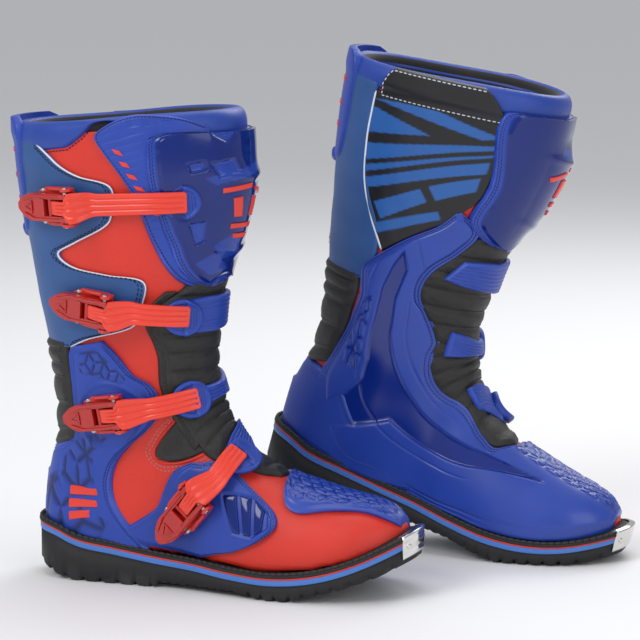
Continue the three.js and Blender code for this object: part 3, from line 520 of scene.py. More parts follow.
class Panel:
    """A closed panel between two edge lines on the last, with its addresses and heights.

    A face point is lifted by its height along its ray. Where neighbouring rays part, a cap of
    a quarter more and 0.3 mm keeps it from shooting out."""

    MOST_SHARE, MOST_EXTRA = 1.25, 0.3

    def __init__(self, edge_a, edge_b, thick, lift=-1.2, foot=-2.6, pitch=2.0, round_edge=1.4,
                 relief=None, ends=True):
        share = np.linspace(0, 1, 160)
        a, b = walk(edge_a, share), walk(edge_b, share)
        pa, pb = surface(*a.T), surface(*b.T)
        run = lengths((pa + pb) / 2, 0)
        places = spaced(run[-1], pitch)
        share = np.interp(places, run / run[-1], share)
        a, b = walk(edge_a, share), walk(edge_b, share)
        wide = np.linalg.norm(surface(*a.T) - surface(*b.T), axis=-1)
        arc = np.linspace(0, 1, 12)
        line = a[:, None] + (b - a)[:, None] * arc[None, :, None]
        wide = lengths(surface(line[..., 0], line[..., 1]), 1)[:, -1]
        template = spaced(max(wide.max(), 3), pitch)
        beads = 3
        v = np.repeat(template[None], len(wide), 0)
        for i, w in enumerate(wide):
            bead = np.array((0, 0.25, 0.7, 1.4)) * min(1, 0.3 * w / 1.4)
            middle = np.linspace(bead[-1], w - bead[-1], len(template) - 2 * beads)
            v[i] = np.concatenate([bead[:-1], middle, (w - bead[:-1])[::-1]]) / max(w, 1e-6)
        address = a[:, None] + (b - a)[:, None] * v[..., None]
        self.s, self.a, self.v = address[..., 0], address[..., 1], v
        base = surface(self.s, self.a)
        self.across = v * wide[:, None]
        down = lengths(base, 0)
        self.edge = np.minimum(self.across, wide[:, None] - self.across)
        if ends:
            self.edge = np.minimum(self.edge, np.minimum(down, down[-1] - down))
        self.edges = (edge_a, edge_b)
        self.lift, self.thick, self.round_edge, self.relief = lift, thick, round_edge, relief
        self.high = self.height(self.s, self.a, self.edge, self.across)
        top = surface(self.s, self.a, self.high)
        moved = np.linalg.norm(top - base, axis=-1)
        most = self.MOST_SHARE * np.abs(self.high) + self.MOST_EXTRA
        top = base + (top - base) * np.minimum(1, most / np.maximum(moved, 1e-6))[..., None]
        under = surface(self.s, self.a, np.minimum(foot, self.high - 0.6))
        rows, columns = self.s.shape
        self.size = rows * columns
        faces = grid_faces(rows, columns)
        loop = border_loop(rows, columns)
        wall = np.stack([loop, np.roll(loop, -1), np.roll(loop, -1) + self.size,
                         loop + self.size], 1)
        points = np.concatenate([top.reshape(-1, 3), under.reshape(-1, 3)])
        self.part = (points, [faces, faces[:, ::-1] + self.size, wall[:, ::-1]])
        flat = np.stack([self.s, self.a], -1).reshape(-1, 2)
        self.data = {"flat": np.concatenate([flat, flat]), "wear": self.both(self.worn())}

    def height(self, s, a, edge, across=None):
        """Lift, plus the rounded thickness, plus relief."""
        near = np.clip(edge / self.round_edge, 0, 1)
        high = self.lift + self.thick * np.sqrt(np.maximum(1 - (1 - near) ** 2, 0))
        if self.relief is not None:
            high = high + self.relief(s, a, edge, across) * np.clip(near, 0, 1)
        return high

    def worn(self):
        """1 on the exposed rim of the panel, fading inward within 2 mm."""
        return 1 - smoothstep(self.edge, 0.6, 2.4)

    def both(self, values):
        """Per-point values for the top and the underside."""
        return np.concatenate([np.ravel(values), np.ravel(values)])

    def path(self, side, inset, start=0.0, stop=1.0):
        """Addresses and heights along one side of the panel, inset from its border."""
        share = np.linspace(0, 1, 300)
        edge_a, edge_b = self.edges
        a, b = walk(edge_a, share), walk(edge_b, share)
        line = a[:, None] + (b - a)[:, None] * np.linspace(0, 1, 12)[None, :, None]
        wide = lengths(surface(line[..., 0], line[..., 1]), 1)[:, -1]
        run = lengths((surface(*a.T) + surface(*b.T)) / 2, 0)
        keep = (run >= run[-1] * start + inset) & (run <= run[-1] * stop - inset)
        if side in ("a", "b"):
            v = np.minimum(inset / wide, 0.5)[keep]
            v = v if side == "a" else 1 - v
            line = a[keep] + (b - a)[keep] * v[:, None]
        else:
            u = np.interp(inset if side == "start" else run[-1] - inset, run, share)
            first, last = walk(edge_a, u), walk(edge_b, u)
            width = np.interp(u, share, wide)
            v = np.linspace(inset / width, 1 - inset / width, 80)
            line = first + (last - first) * v[:, None]
        s, ang = line.T
        return s, ang, self.height(s, ang, np.full(len(s), float(inset)), np.full(len(s), 0.0))


# %% [markdown]
# ## Seams, piping, rivets
# A seam is modelled stitch by stitch: each stitch is a short capsule sunk a little into the
# panel, laid along a line of addresses at an even pitch. Piping is a thin tube bent along such
# a line. Both use the skin's own normals, so they sit square on it.

# %% Stitches, tubes and small solids
def even_line(s, a, high, pitch):
    """Points, tangents, normals at an even pitch along a line of addresses."""
    points = surface(s, a, high)
    run = lengths(points, 0)
    count = max(int(run[-1] / pitch), 2)
    at = (np.arange(count) + 0.5) * run[-1] / count
    s2, a2 = np.interp(at, run, s), np.interp(at, run, a)
    p = np.stack([np.interp(at, run, points[:, k]) for k in range(3)], -1)
    tangent = np.gradient(p, axis=0)
    tangent /= np.maximum(np.linalg.norm(tangent, axis=1, keepdims=True), 1e-9)
    return p, tangent, normals_at(s2, a2)


def capsules(p, tangent, normal, length, radius):
    """One short capsule for each point: four hexagon rings and two poles, along the tangent."""
    across = np.cross(normal, tangent)
    across /= np.maximum(np.linalg.norm(across, axis=1, keepdims=True), 1e-9)
    up = np.cross(tangent, across)
    angle = np.arange(6) * np.pi / 3
    rings = [(-0.5, 0.5), (-0.25, 1.0), (0.25, 1.0), (0.5, 0.5)]
    shape = [(-0.56, 0, 0)]
    for x, r in rings:
        shape += [(x, r * math.cos(t), r * math.sin(t)) for t in angle]
    shape.append((0.56, 0, 0))
    shape = np.array(shape) * (length, radius, radius)
    points = (p[:, None] + tangent[:, None] * shape[None, :, :1]
              + across[:, None] * shape[None, :, 1:2] + up[:, None] * shape[None, :, 2:])
    quads = grid_faces(4, 6, wrap=True) + 1
    j = np.arange(6)
    n = (j + 1) % 6
    caps = np.concatenate([np.stack([np.zeros(6, int), n + 1, j + 1], 1),
                           np.stack([np.full(6, 25), j + 19, n + 19], 1)])
    start = (np.arange(len(p)) * 26)[:, None, None]
    return points.reshape(-1, 3), [(quads[None] + start).reshape(-1, 4),
                                   (caps[None] + start).reshape(-1, 3)]


def seam(s, a, high, pitch=3.0, length=2.1, radius=0.42):
    """A row of stitches along addresses."""
    p, tangent, normal = even_line(s, a, high, pitch)
    return capsules(p + normal * 0.1, tangent, normal, length, radius)


def panel_seam(panel, runs, pitch=3.0, length=2.1, radius=0.42):
    """Stitches along several of a panel's sides: runs of (side, inset)."""
    return [seam(*panel.path(side, inset), pitch, length, radius) for side, inset in runs]


def tube(points, normal, radius, sides=8):
    """A tube with round ends along points, its rings square to the line."""
    tangent = np.gradient(points, axis=0)
    tangent /= np.maximum(np.linalg.norm(tangent, axis=1, keepdims=True), 1e-9)
    across = np.cross(normal, tangent)
    across /= np.maximum(np.linalg.norm(across, axis=1, keepdims=True), 1e-9)
    up = np.cross(tangent, across)
    radius = np.broadcast_to(radius, len(points)).copy()
    radius[[0, -1]] *= 0.5
    turn = np.arange(sides) * 2 * np.pi / sides
    ring = across[:, None] * np.cos(turn)[None, :, None] + up[:, None] * np.sin(turn)[None, :, None]
    body = points[:, None] + ring * radius[:, None, None]
    return closed_loops(body)


def closed_loops(loops):
    """Rings of points, joined along and capped with a fan at each end."""
    rows, columns = loops.shape[:2]
    points = np.concatenate([loops.reshape(-1, 3), loops[[0, -1]].mean(1)])
    j = np.arange(columns)
    n = (j + 1) % columns
    first = np.stack([np.full(columns, rows * columns), n, j], 1)
    last = (rows - 1) * columns
    final = np.stack([np.full(columns, rows * columns + 1), j + last, n + last], 1)
    return points, [grid_faces(rows, columns, wrap=True), np.concatenate([first, final])]


def piping(s, a, high, radius=0.9, pitch=2.0):
    """A thin tube laid along addresses."""
    p, tangent, normal = even_line(np.asarray(s), np.asarray(a), high, pitch)
    return tube(p, normal, radius)


def bar(corners, thick, lift, pitch=1.5, round_edge=1.0, foot=None, relief=None):
    """A small raised panel between four corner addresses, given in order round it."""
    first, second, third, fourth = corners
    foot = lift - 1.5 if foot is None else foot
    return Panel([first, second], [fourth, third], thick, lift, foot, pitch, round_edge, relief)


def polygon_depth(corners, s, a, squash=1.0):
    """Signed distance in mm to a polygon of addresses, positive inside; 1 degree is about 1 mm."""
    corners = np.array(corners, float) * (1, squash)
    x, y = s, a * squash
    best = np.full(np.shape(s), 1e9)
    inside = np.zeros(np.shape(s), bool)
    for (x0, y0), (x1, y1) in zip(corners, np.roll(corners, -1, 0)):
        ex, ey = x1 - x0, y1 - y0
        t = np.clip(((x - x0) * ex + (y - y0) * ey) / (ex * ex + ey * ey), 0, 1)
        best = np.minimum(best, np.hypot(x - x0 - t * ex, y - y0 - t * ey))
        crosses = (y0 > y) != (y1 > y)
        inside ^= crosses & (x < ex * (y - y0) / np.where(ey == 0, 1e-9, ey) + x0)
    return np.where(inside, best, -best)


def tumbling(s, a, size=13.0, turn=0.35, slope=0.085, groove=1.0, only_lines=False):
    """Facets like stacked cubes: a hexagon grid, each hexagon in three tilted rhombs, with a
    groove along every border. The height is the tilt of the facet minus the groove; the lines
    alone are 1 in a groove and 0 on a facet."""
    x, y = s * math.cos(turn) - a * math.sin(turn), s * math.sin(turn) + a * math.cos(turn)
    best = np.full(np.shape(x), 1e9)
    cx, cy = np.zeros_like(x), np.zeros_like(x)
    wide, tall = size * 0.866, size
    for shift in (-1, 0, 1):
        column = np.round(x / wide) + shift
        row = np.round(y / tall - 0.5 * (column % 2)) + 0.5 * (column % 2)
        d = (x - column * wide) ** 2 + (y - row * tall) ** 2
        closer = d < best
        best = np.where(closer, d, best)
        cx, cy = np.where(closer, column * wide, cx), np.where(closer, row * tall, cy)
    dx, dy = x - cx, y - cy
    angle = np.arctan2(dy, dx)
    r = np.hypot(dx, dy)
    spoke = np.floor((angle + np.pi / 3) / (2 * np.pi / 3))
    centre = spoke * 2 * np.pi / 3
    along = r * np.cos(angle - centre)
    to_spoke = r * np.abs(np.sin((np.abs(angle - centre)) - np.pi / 3))
    sector = np.round(angle / (np.pi / 3) - 0.5) + 0.5
    to_side = size / 2 - r * np.cos(angle - sector * np.pi / 3)
    to_spoke = np.where(np.abs(angle - centre) > np.pi / 6, to_spoke, 9)
    line = np.minimum(to_spoke, np.maximum(to_side, 0))
    lines = np.exp(-(line / 1.15) ** 2)
    return lines if only_lines else along * slope - groove * lines


def groove(distance, depth=0.6, wide=0.75):
    """A round channel along the line where distance is zero."""
    return -depth * np.exp(-(distance / wide) ** 2)


def stitched_rim(edge, first=2.6, second=5.0, depth=0.8):
    """Two stitching channels near a border."""
    return groove(edge - first, depth) + groove(edge - second, depth)


print("panel tools ready")

# %% [markdown]
# ## The sole, the rand and the welt
# The outsole is moulded rubber with blocks along its edge, deepest at the heel. Above it run a
# pale blue rand, a thin red line and a black welt, through which heavy thread sews the upper to
# the sole. The sole is a grid of stations and widths between an upper and a lower height. The
# bands are profiles carried round the sole's outline.

# %% Outline of the sole
def sole_outline(count=420):
    """Points and outward normals round the sole, at even steps: out along one side, back on the
    other."""
    t = 0.5 - 0.5 * np.cos(np.linspace(0, np.pi, 900))
    x = t * SOLE_LENGTH
    out = np.stack([x, sole_half(x, 1)], -1)
    back_side = np.stack([x[::-1], -sole_half(x[::-1], -1)], -1)[1:-1]
    loop = np.concatenate([out, back_side, out[:1]])
    run = lengths(loop, 0)
    at = np.linspace(0, run[-1], count, endpoint=False)
    p = np.stack([np.interp(at, run, loop[:, k]) for k in (0, 1)], -1)
    tangent = np.roll(p, -2, 0) - np.roll(p, 2, 0)
    normal = np.stack([-tangent[:, 1], tangent[:, 0]], -1)
    normal /= np.linalg.norm(normal, axis=1, keepdims=True)
    return p, normal, at


outline, outline_normal, outline_run = sole_outline()


def band(profile, grow=0.0):
    """A closed strip round the sole: a loop of (outward, height over the welt line) carried
    along the outline."""
    profile = np.array(profile, float)
    top = welt_top(outline[:, 0])
    xy = outline[:, None] + outline_normal[:, None] * (profile[None, :, :1] + grow)
    z = top[:, None] + profile[None, :, 1]
    loops = np.concatenate([xy, z[..., None]], -1)
    rows, columns = loops.shape[:2]
    faces = grid_faces(rows, columns, wrap=True)
    j = np.arange(columns)
    n = (j + 1) % columns
    last = (rows - 1) * columns
    close = np.stack([last + j, last + n, n, j], 1)
    return loops.reshape(-1, 3), [np.concatenate([faces, close])]


def round_profile(out, low, high, depth, edge=0.8):
    """A strip's section: flat inside, rounded outside."""
    return [(out - depth, low), (out - edge, low), (out - 0.25 * edge, low + 0.3 * edge),
            (out, low + edge), (out, high - edge), (out - 0.25 * edge, high - 0.3 * edge),
            (out - edge, high), (out - depth, high)]


def sole_block():
    """Rubber sole: its lower face follows the rocker line, with notches cut up between the
    blocks at the edge and a chevron tread across the middle."""
    x = 0.6 + (SOLE_LENGTH - 1.2) * np.concatenate([
        0.5 - 0.5 * np.cos(np.linspace(0, np.pi, 90)), np.linspace(0.02, 0.98, 200)])
    x = np.unique(x.round(2))
    across = np.concatenate([[-1, -0.985, -0.95], np.linspace(-0.9, 0.9, 21), [0.95, 0.985, 1]])
    xx, vv = np.meshgrid(x, across, indexing="ij")
    half = np.where(vv > 0, sole_half(xx, 1), sole_half(xx, -1)) + 0.2
    y = vv * half
    tuck = 1.2 * smoothstep(np.abs(vv), 0.94, 1)
    from_edge = half - np.abs(y)
    edge_block = 1 - smoothstep(from_edge, 9, 11)
    heel = 1 - smoothstep(xx, 104, 108)
    front = smoothstep(xx, 186, 190)
    waist = (1 - heel) * (1 - front)
    pitch = np.where(heel > 0.5, 15.0, 11.0)
    phase = (xx + 0.35 * np.abs(y)) / pitch
    tooth = np.abs((phase % 1) - 0.5) * 2
    notch = smoothstep(tooth, 0.55, 0.8)
    inner = smoothstep(np.abs(((phase * 1.0 + 0.5) % 1) - 0.5) * 2, 0.6, 0.8)
    depth = (3.2 * notch * edge_block + 2.6 * inner * (1 - edge_block)) * (heel + front)
    depth = depth + 0.8 * waist * smoothstep(np.abs(((xx / 8) % 1) - 0.5) * 2, 0.5, 0.8)
    low = sole_bottom(xx) + depth + tuck
    high = welt_top(xx) - 8 + 0 * xx
    low = np.minimum(low, high - 0.8)
    rows, columns = xx.shape
    bottom = np.stack([xx, y, low], -1)
    top = np.stack([xx, y * 0.995, high], -1)
    faces = grid_faces(rows, columns)
    loop = border_loop(rows, columns)
    size = rows * columns
    ring_low = bottom.reshape(-1, 3)[loop]
    ring_high = top.reshape(-1, 3)[loop]
    middle = ring_low * 0.5 + ring_high * 0.5
    n = len(loop)
    points = np.concatenate([bottom.reshape(-1, 3), top.reshape(-1, 3), middle])
    k = np.arange(n)
    k2 = (k + 1) % n
    wall_low = np.stack([loop[k], loop[k2], 2 * size + k2, 2 * size + k], 1)
    wall_high = np.stack([2 * size + k, 2 * size + k2, loop[k2] + size, loop[k] + size], 1)
    return points, [faces, faces[:, ::-1] + size, wall_low[:, ::-1], wall_high[:, ::-1]]


def wear_from_height(points, low, high):
    """1 below the lower height and 0 above the higher one."""
    return 1 - smoothstep(points[:, 2], low, high)


sole_part = sole_block()
on_both("sole", [sole_part], sole_rubber, {"wear": wear_from_height(sole_part[0], 1.0, 5.0)},
        ["outsole"])
on_both("rand", [band(round_profile(0.7, -8.3, -3.6, 6))], rand_blue, None, ["welt"])
on_both("rand_groove", [band(round_profile(0.25, -8.9, -8.2, 5, 0.2))], welt_black)
on_both("red_line", [band(round_profile(0.9, -3.7, -2.2, 6, 0.5))], rand_red)
welt_profile = [(-9, -2.3), (0.9, -2.3), (1.3, -1.9), (1.4, -1.2), (1.3, -0.4), (0.8, 0.1),
                (-0.5, 0.3), (-2.5, 0.2), (-4, 0.5), (-9, 0.8)]
on_both("welt_strip", [band(welt_profile)], welt_black)

# %% Heavy thread round the welt, and a fine row on the rand
def outline_stitches(out, high, pitch, length, radius, tilt=0.0):
    """Stitches lying along the sole's outline."""
    run = np.append(outline_run, outline_run[-1] + outline_run[1])
    total = run[-1]
    count = int(total / pitch)
    at = (np.arange(count) + 0.5) * total / count
    loop = np.concatenate([outline, outline[:1]])
    normal = np.concatenate([outline_normal, outline_normal[:1]])
    p = np.stack([np.interp(at, run, loop[:, k]) for k in (0, 1)], -1)
    n = np.stack([np.interp(at, run, normal[:, k]) for k in (0, 1)], -1)
    xy = p + n * out
    points = np.concatenate([xy, (welt_top(p[:, 0]) + high)[:, None]], 1)
    ahead = np.roll(points, -1, 0) - np.roll(points, 1, 0)
    ahead /= np.linalg.norm(ahead, axis=1, keepdims=True)
    up = np.zeros_like(points)
    up[:, 2] = 1
    side = np.cross(up, ahead)
    ahead = ahead + side * tilt
    ahead /= np.linalg.norm(ahead, axis=1, keepdims=True)
    return capsules(points, ahead, up, length, radius)


on_both("welt_thread", [outline_stitches(-0.4, 0.9, 5.4, 5.8, 1.35, 0.28),
                        outline_stitches(-0.7, 0.7, 5.4, 5.4, 1.15, -0.3)], black_thread)

# %% [markdown]
# ## The toe plate
# A bright metal plate is bent round the front of the sole and riveted on. It is a profile with
# a rolled lip above and a return below, carried round the toe, with two rivet heads.

# %% Toe plate
def toe_plate():
    """Section of the plate carried along the front of the outline."""
    turn = np.radians(np.linspace(60, 120, 64))
    bend = 2 / 2.3
    x = SOLE_LENGTH - TOE_ROUND + TOE_ROUND * np.abs(np.sin(turn)) ** bend
    c = np.cos(turn)
    y = np.sign(c) * np.where(c > 0, outer_half(x), inner_half(x)) * np.abs(c) ** bend
    away = np.stack([x - SOLE_LENGTH + TOE_ROUND, y * 1.1], -1)
    away /= np.linalg.norm(away, axis=1, keepdims=True)
    low, high = welt_top(x) - 15.5, welt_top(x) + 2.6
    section = [(0.5, 0.0), (1.6, 0.0), (2.0, 0.06), (2.05, 0.2), (1.75, 0.26), (1.8, 0.34),
               (2.1, 0.4), (2.1, 0.72), (1.8, 0.78), (1.9, 0.84), (2.15, 0.92), (1.7, 0.985),
               (0.9, 1.0), (-1.6, 1.0), (-3.2, 0.985), (-3.3, 0.93), (-1.6, 0.95), (0.5, 0.93)]
    loops = []
    for out, share in section:
        z = low + (high - low) * share
        loops.append(np.stack([x + away[:, 0] * out, y + away[:, 1] * out, z], -1))
    return closed_loops(np.stack(loops, 1))


def dome(centre, normal, radius, high, sides=14):
    """A rivet head: rings shrinking over a quarter circle, on a short base."""
    normal = np.array(normal, float)
    normal /= np.linalg.norm(normal)
    side = np.cross(normal, (0.3, 0.2, 0.93))
    side /= np.linalg.norm(side)
    other = np.cross(normal, side)
    turn = np.arange(sides) * 2 * np.pi / sides
    ring = np.cos(turn)[:, None] * side + np.sin(turn)[:, None] * other
    steps = [(1.0, -0.8), (1.0, 0.0), (0.93, 0.45), (0.72, 0.8), (0.4, 0.97), (0.12, 1.0)]
    return closed_loops(np.stack([np.array(centre) + ring * radius * r + normal * high * h
                                  for r, h in steps]))


plate_turn = [math.radians(v) for v in (67, 113)]
rivets = []
for turn in plate_turn:
    px = SOLE_LENGTH - TOE_ROUND + TOE_ROUND * math.sin(turn) ** (2 / 2.3)
    c = math.cos(turn)
    py = math.copysign(float(outer_half(px) if c > 0 else inner_half(px)) * abs(c) ** (2 / 2.3), c)
    out = np.array([px - SOLE_LENGTH + TOE_ROUND, py * 1.1, 0])
    out /= np.linalg.norm(out)
    pz = float(welt_top(px)) - 6.5
    rivets.append(dome(np.array([px, py, pz]) + out * 2.0, out, 2.4, 1.1))
on_both("toe_plate", [toe_plate()] + rivets, chrome, None, ["toe_guard"])

# %% [markdown]
# ## The upper
# The red upper is one microfibre skin over a stiff inner shell, closed like a sock: an outer
# face, a rim, and an inner face. A slow noise in its height gives it the slight life of leather
# pulled over a last.

# %% Upper, lining and footbed
TURN = np.arange(0, 360, 3.0)


def soft_noise(s, a, seed, size=30.0):
    """A smooth pattern of a few sines with seeded directions, about -1 to 1."""
    draw = np.random.default_rng(seed)
    total = np.zeros(np.shape(s))
    for _ in range(7):
        f, g, phase = draw.normal(0, 1, 3)
        turns = np.round(g * 360 / size / 4) * 4
        total = total + np.sin(s * f * 2 * np.pi / size + np.radians(a) * turns + phase * 6)
    return total / 4


def ring_loops(stations, lifts, drop=True):
    """Rings round the last at stations, lowered at the calf with the collar line."""
    s = np.asarray(stations, float)[:, None] + 0 * TURN[None]
    a = TURN[None] + 0 * s
    if drop:
        s = s - collar_drop(s, a)
    return surface(s, a, np.asarray(lifts, float)[:, None] + 0 * s), s, a


outer_steps = np.concatenate([[1.2, 2.2, 3.6, 5.5, 8, 11, 15, 20, 26], np.arange(32, 438, 3.5),
                              [437.5, RIM]])
outer_lift = np.full(len(outer_steps), -1.9)
outer_lift[0] = -3.0
shell, shell_s, shell_a = ring_loops(outer_steps, outer_lift)
shell = shell + normals_at(shell_s, shell_a) * (soft_noise(shell_s, shell_a, 3, 70)
                                                * 0.25)[..., None]
inner_steps = np.concatenate([[RIM, 420, 380, 340, 300, 262, 242], np.arange(226, 24, -12)])
inner_lift = np.where(inner_steps > 240, -6.0, -9.9)
inside, _, _ = ring_loops(inner_steps, inner_lift)
upper_part = closed_loops(np.concatenate([shell, inside]))
on_both("upper_skin", [upper_part], red_leather, None, ["upper"])

lining_steps = np.array([236, 262, 300, 340, 380, 410, 428, 438, 444, 447.2, 448.4, 448.6, 447.6,
                         444, 438, 428, 410, 380, 340, 300, 262, 237])
lining_lift = np.array([-6.2, -6.2, -6.2, -6.2, -6.2, -6.2, -6.2, -4, -1.6, -1.8, -3.4, -6.0, -9.0,
                        -11.2, -12.2, -11.6, -11.2, -10.9, -10.9, -10.9, -10.9, -10.6])
lining_loops, _, _ = ring_loops(lining_steps, lining_lift)
rows, columns = lining_loops.shape[:2]
closing = (rows - 1) * columns
j = np.arange(columns)
n = (j + 1) % columns
lining_part = (lining_loops.reshape(-1, 3), [np.concatenate([
    grid_faces(rows, columns, wrap=True), np.stack([closing + j, closing + n, n, j], 1)])])
for piece in on_both("lining", [lining_part], lining_cloth, None, ["liner"]):
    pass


def footbed_part():
    """Insole: a slab that follows the foot, dished at the heel and raised under the arch."""
    x = 46 + 190 * (0.5 - 0.5 * np.cos(np.linspace(0, np.pi, 40)))
    v = np.linspace(-1, 1, 15)
    xx, vv = np.meshgrid(x, v, indexing="ij")
    half = np.maximum(np.where(vv > 0, sole_half(xx, 1), sole_half(xx, -1)) - 30, 0.6)
    y = half * vv
    low = welt_top(xx) + 12.4
    dish = 1.0 * (1 - vv ** 2) * (1 - smoothstep(xx, 80, 110))
    arch = 1.6 * smoothstep(-vv, 0.2, 1) * np.exp(-((xx - 130) / 26) ** 2)
    top = np.stack([xx, y, low + 4 - dish + arch], -1)
    under = np.stack([xx, y, low], -1)
    rows, columns = xx.shape
    faces = grid_faces(rows, columns)
    loop = border_loop(rows, columns)
    size = rows * columns
    wall = np.stack([loop, np.roll(loop, -1), np.roll(loop, -1) + size, loop + size], 1)
    return np.concatenate([top.reshape(-1, 3), under.reshape(-1, 3)]), [
        faces, faces[:, ::-1] + size, wall[:, ::-1]]


for piece in on_both("insole", [footbed_part()], footbed_foam, None, ["footbed"]):
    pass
for side in ("right", "left"):
    shank = frame["nodes"][f"{side}_shank"]
    shank.data.materials.clear()
    shank.data.materials.append(steel)
print("shell", shell.shape)

# %% [markdown]
# ## The padded collar
# A foam roll in blue leather goes round the mouth of the boot. It is lower outside at the calf,
# where the red upper ends under it, and it is pulled in at its seams. It is a ring of sections,
# each a crowned curve from the seam up, over the rim and a little way down inside.

# %% Collar roll
def collar_seam(a):
    """Station of the collar's lower seam at an angle, before the drop of the rim."""
    table = [(-180, 423), (-150, 424), (-128, 428), (-50, 430), (-30, 430), (30, 431),
             (60, 438), (76, 446), (86, 447.5), (95, 446), (104, 436), (116, 427), (140, 424),
             (180, 423)]
    x, y = np.array(table).T
    return np.interp(a, x, y)


def collar_roll():
    """Sections of the roll: share 0 at the seam, 0.62 at the top of the rim, 1 inside."""
    a = np.where(TURN > 180, TURN - 360, TURN)
    low = collar_seam(a)
    share = np.array([-0.06, 0, 0.05, 0.14, 0.28, 0.45, 0.62, 0.76, 0.88, 0.97, 1.0])
    lift = np.array([-2.8, -0.8, 0.4, 1.3, 1.9, 2.1, 1.8, 1.1, -0.2, -1.8, -3.4])
    s = low[None] + (449.3 - low)[None] * np.minimum(share, 1)[:, None]
    inner_s = np.array([450.0, 449.6, 448.0, 445.0, 440.0, 434.0])
    inner_lift = np.array([-4.6, -6.0, -8.2, -10.4, -12.4, -12.0])
    s = np.concatenate([s, np.repeat(inner_s[:, None], len(a), 1)])
    puff = 1 + 0.22 * soft_noise(np.zeros(len(a)), TURN, 11, 60)
    h = np.concatenate([lift[:, None] * puff[None], np.repeat(inner_lift[:, None], len(a), 1)])
    h[:2] = lift[:2, None]
    back_s = np.array([434.0, 430.0])
    s = np.concatenate([s, np.repeat(back_s[:1, None], len(a), 1), low[None] - 1.0])
    h = np.concatenate([h, np.full((1, len(a)), -6.2), np.full((1, len(a)), -5.0)])
    aa = TURN[None] + 0 * s
    s2 = s - collar_drop(s, aa)
    loops = surface(s2, aa, h)
    rows, columns = loops.shape[:2]
    last = (rows - 1) * columns
    j = np.arange(columns)
    n = (j + 1) % columns
    close = np.stack([last + j, last + n, n, j], 1)
    return loops.reshape(-1, 3), [np.concatenate([grid_faces(rows, columns, wrap=True), close])]


for piece in on_both("collar_roll", [collar_roll()], collar_leather, None):
    smooth = piece.modifiers.new("smooth", "SUBSURF")
    smooth.levels = smooth.render_levels = 1
a = np.linspace(-180, 180, 400)
s = collar_seam(a)
seam_s = s - collar_drop(s, a) - 2.2
keep = (a > 98) | (a < -130)
order = np.argsort(np.where(a[keep] < 0, a[keep] + 360, a[keep]))
on_both("collar_seam", [seam(seam_s[keep][order], np.where(a < 0, a + 360, a)[keep][order],
                             np.full(keep.sum(), -1.6), 3.2, 2.1, 0.45)], navy_thread)

# %% [markdown]
# ## Blue calf leather
# A grained leather panel wraps the calf, with three lobes reaching forward over the red upper.
# Its front edge is turned over a white cord, and two rows of thread hold it down.

# %% Calf panel, its piping and stitches
calf_front = [(424, 141), (414, 130), (405, 120), (398, 106), (391, 82), (370, 82), (360, 89),
              (347, 114), (337, 130), (327, 118), (322, 88), (318, 59), (300, 59), (286, 63),
              (279, 76), (271, 112), (262, 135)]
calf_rear = [(424, 226), (414, 226), (405, 226), (398, 226), (390, 226), (372, 227), (362, 229),
             (348, 231), (340, 234), (332, 237), (324, 241), (316, 245), (303, 249), (290, 249),
             (281, 247), (273, 243), (264, 239)]


def leather_life(seed, tall=0.35, size=45):
    """Relief of stretched leather: a smooth seeded noise."""
    return lambda s, a, edge, across: tall * soft_noise(s, a, seed, size) * smoothstep(edge, 1, 8)


calf = Panel(calf_front, calf_rear, 3.0, -1.3, pitch=2.4, relief=leather_life(5))
on_both("calf_leather", [calf.part], calf_leather, calf.data, ["calf_panel"])
s, a, h = calf.path("a", 0.2)
on_both("calf_piping", [piping(s, a, h + 0.2, 0.85)], piping_white)
on_both("calf_stitches", panel_seam(calf, [("a", 3.2), ("a", 6.2), ("end", 3.0)], 3.6, 2.5, 0.5),
        navy_thread)

# %% [markdown]
# ## Printed leather on the inner side
# The inner side of the shaft is black leather with a printed pattern. The print is a mask worked
# out at every point of the panel: a few slanted stripes and wedges of our own. A plain black
# panel with dashed white stitching joins it to the rim.

# %% Printed panel and black top panel
medial_rear = [(418, -134), (404, -134), (376, -134), (345, -131), (319, -122), (292, -106)]
medial_front = [(420, -44), (408, -44), (390, -41), (372, -40), (352, -43), (330, -58)]


def stripes(s, a):
    """1 inside the printed stripes: bands that climb toward the shin, and two wedges."""
    inked = np.zeros(np.shape(s))
    for corners in (
        [(411, -134), (404, -52), (409, -40), (418, -90)],
        [(405, -134), (396, -86), (383, -134)],
        [(360, -134), (398, -44), (403, -40), (374, -134)],
        [(350, -134), (392, -44), (395, -42), (356, -134)],
        [(336, -134), (378, -44), (388, -44), (345, -134)],
        [(330, -120), (352, -84), (343, -76), (318, -112)],
        [(356, -78), (374, -46), (362, -46), (346, -70)],
        [(314, -116), (338, -66), (332, -62), (306, -112)],
    ):
        inked = np.maximum(inked, smoothstep(polygon_depth(corners, s, a), -0.4, 0.5))
    return inked


medial = Panel(medial_rear, medial_front, 3.0, -1.5, pitch=1.1, relief=leather_life(6, 0.25))
medial.data["tint"] = medial.both(stripes(medial.s, medial.a))
on_both("printed_leather", [medial.part], printed_leather, medial.data, ["medial_panel"])
s, a, h = medial.path("a", 0.4)
on_both("print_piping", [piping(s, a, h + 0.4, 1.0)], piping_white)


def top_lift(s, a, edge, across):
    """The panel follows the puff of the collar roll under it."""
    return 3.4 * smoothstep(s + collar_drop(s, a), 424, 432)


rim_rear = [(440, -122), (434, -126), (428, -128), (420, -130), (413, -131)]
rim_front = [(445, -58), (440, -52), (434, -48), (427, -44), (419, -42)]
rim_panel = Panel(rim_rear, rim_front, 1.8, 0.1, pitch=1.8, relief=top_lift, foot=-1.5)
rim_panel.data["tint"] = rim_panel.both(np.zeros(rim_panel.size))
on_both("rim_panel", [rim_panel.part], printed_leather, rim_panel.data, None)
on_both("rim_stitches", panel_seam(rim_panel, [("end", 2.2), ("start", 2.4), ("a", 2.2)],
                                   4.0, 2.6, 0.5), white_thread)

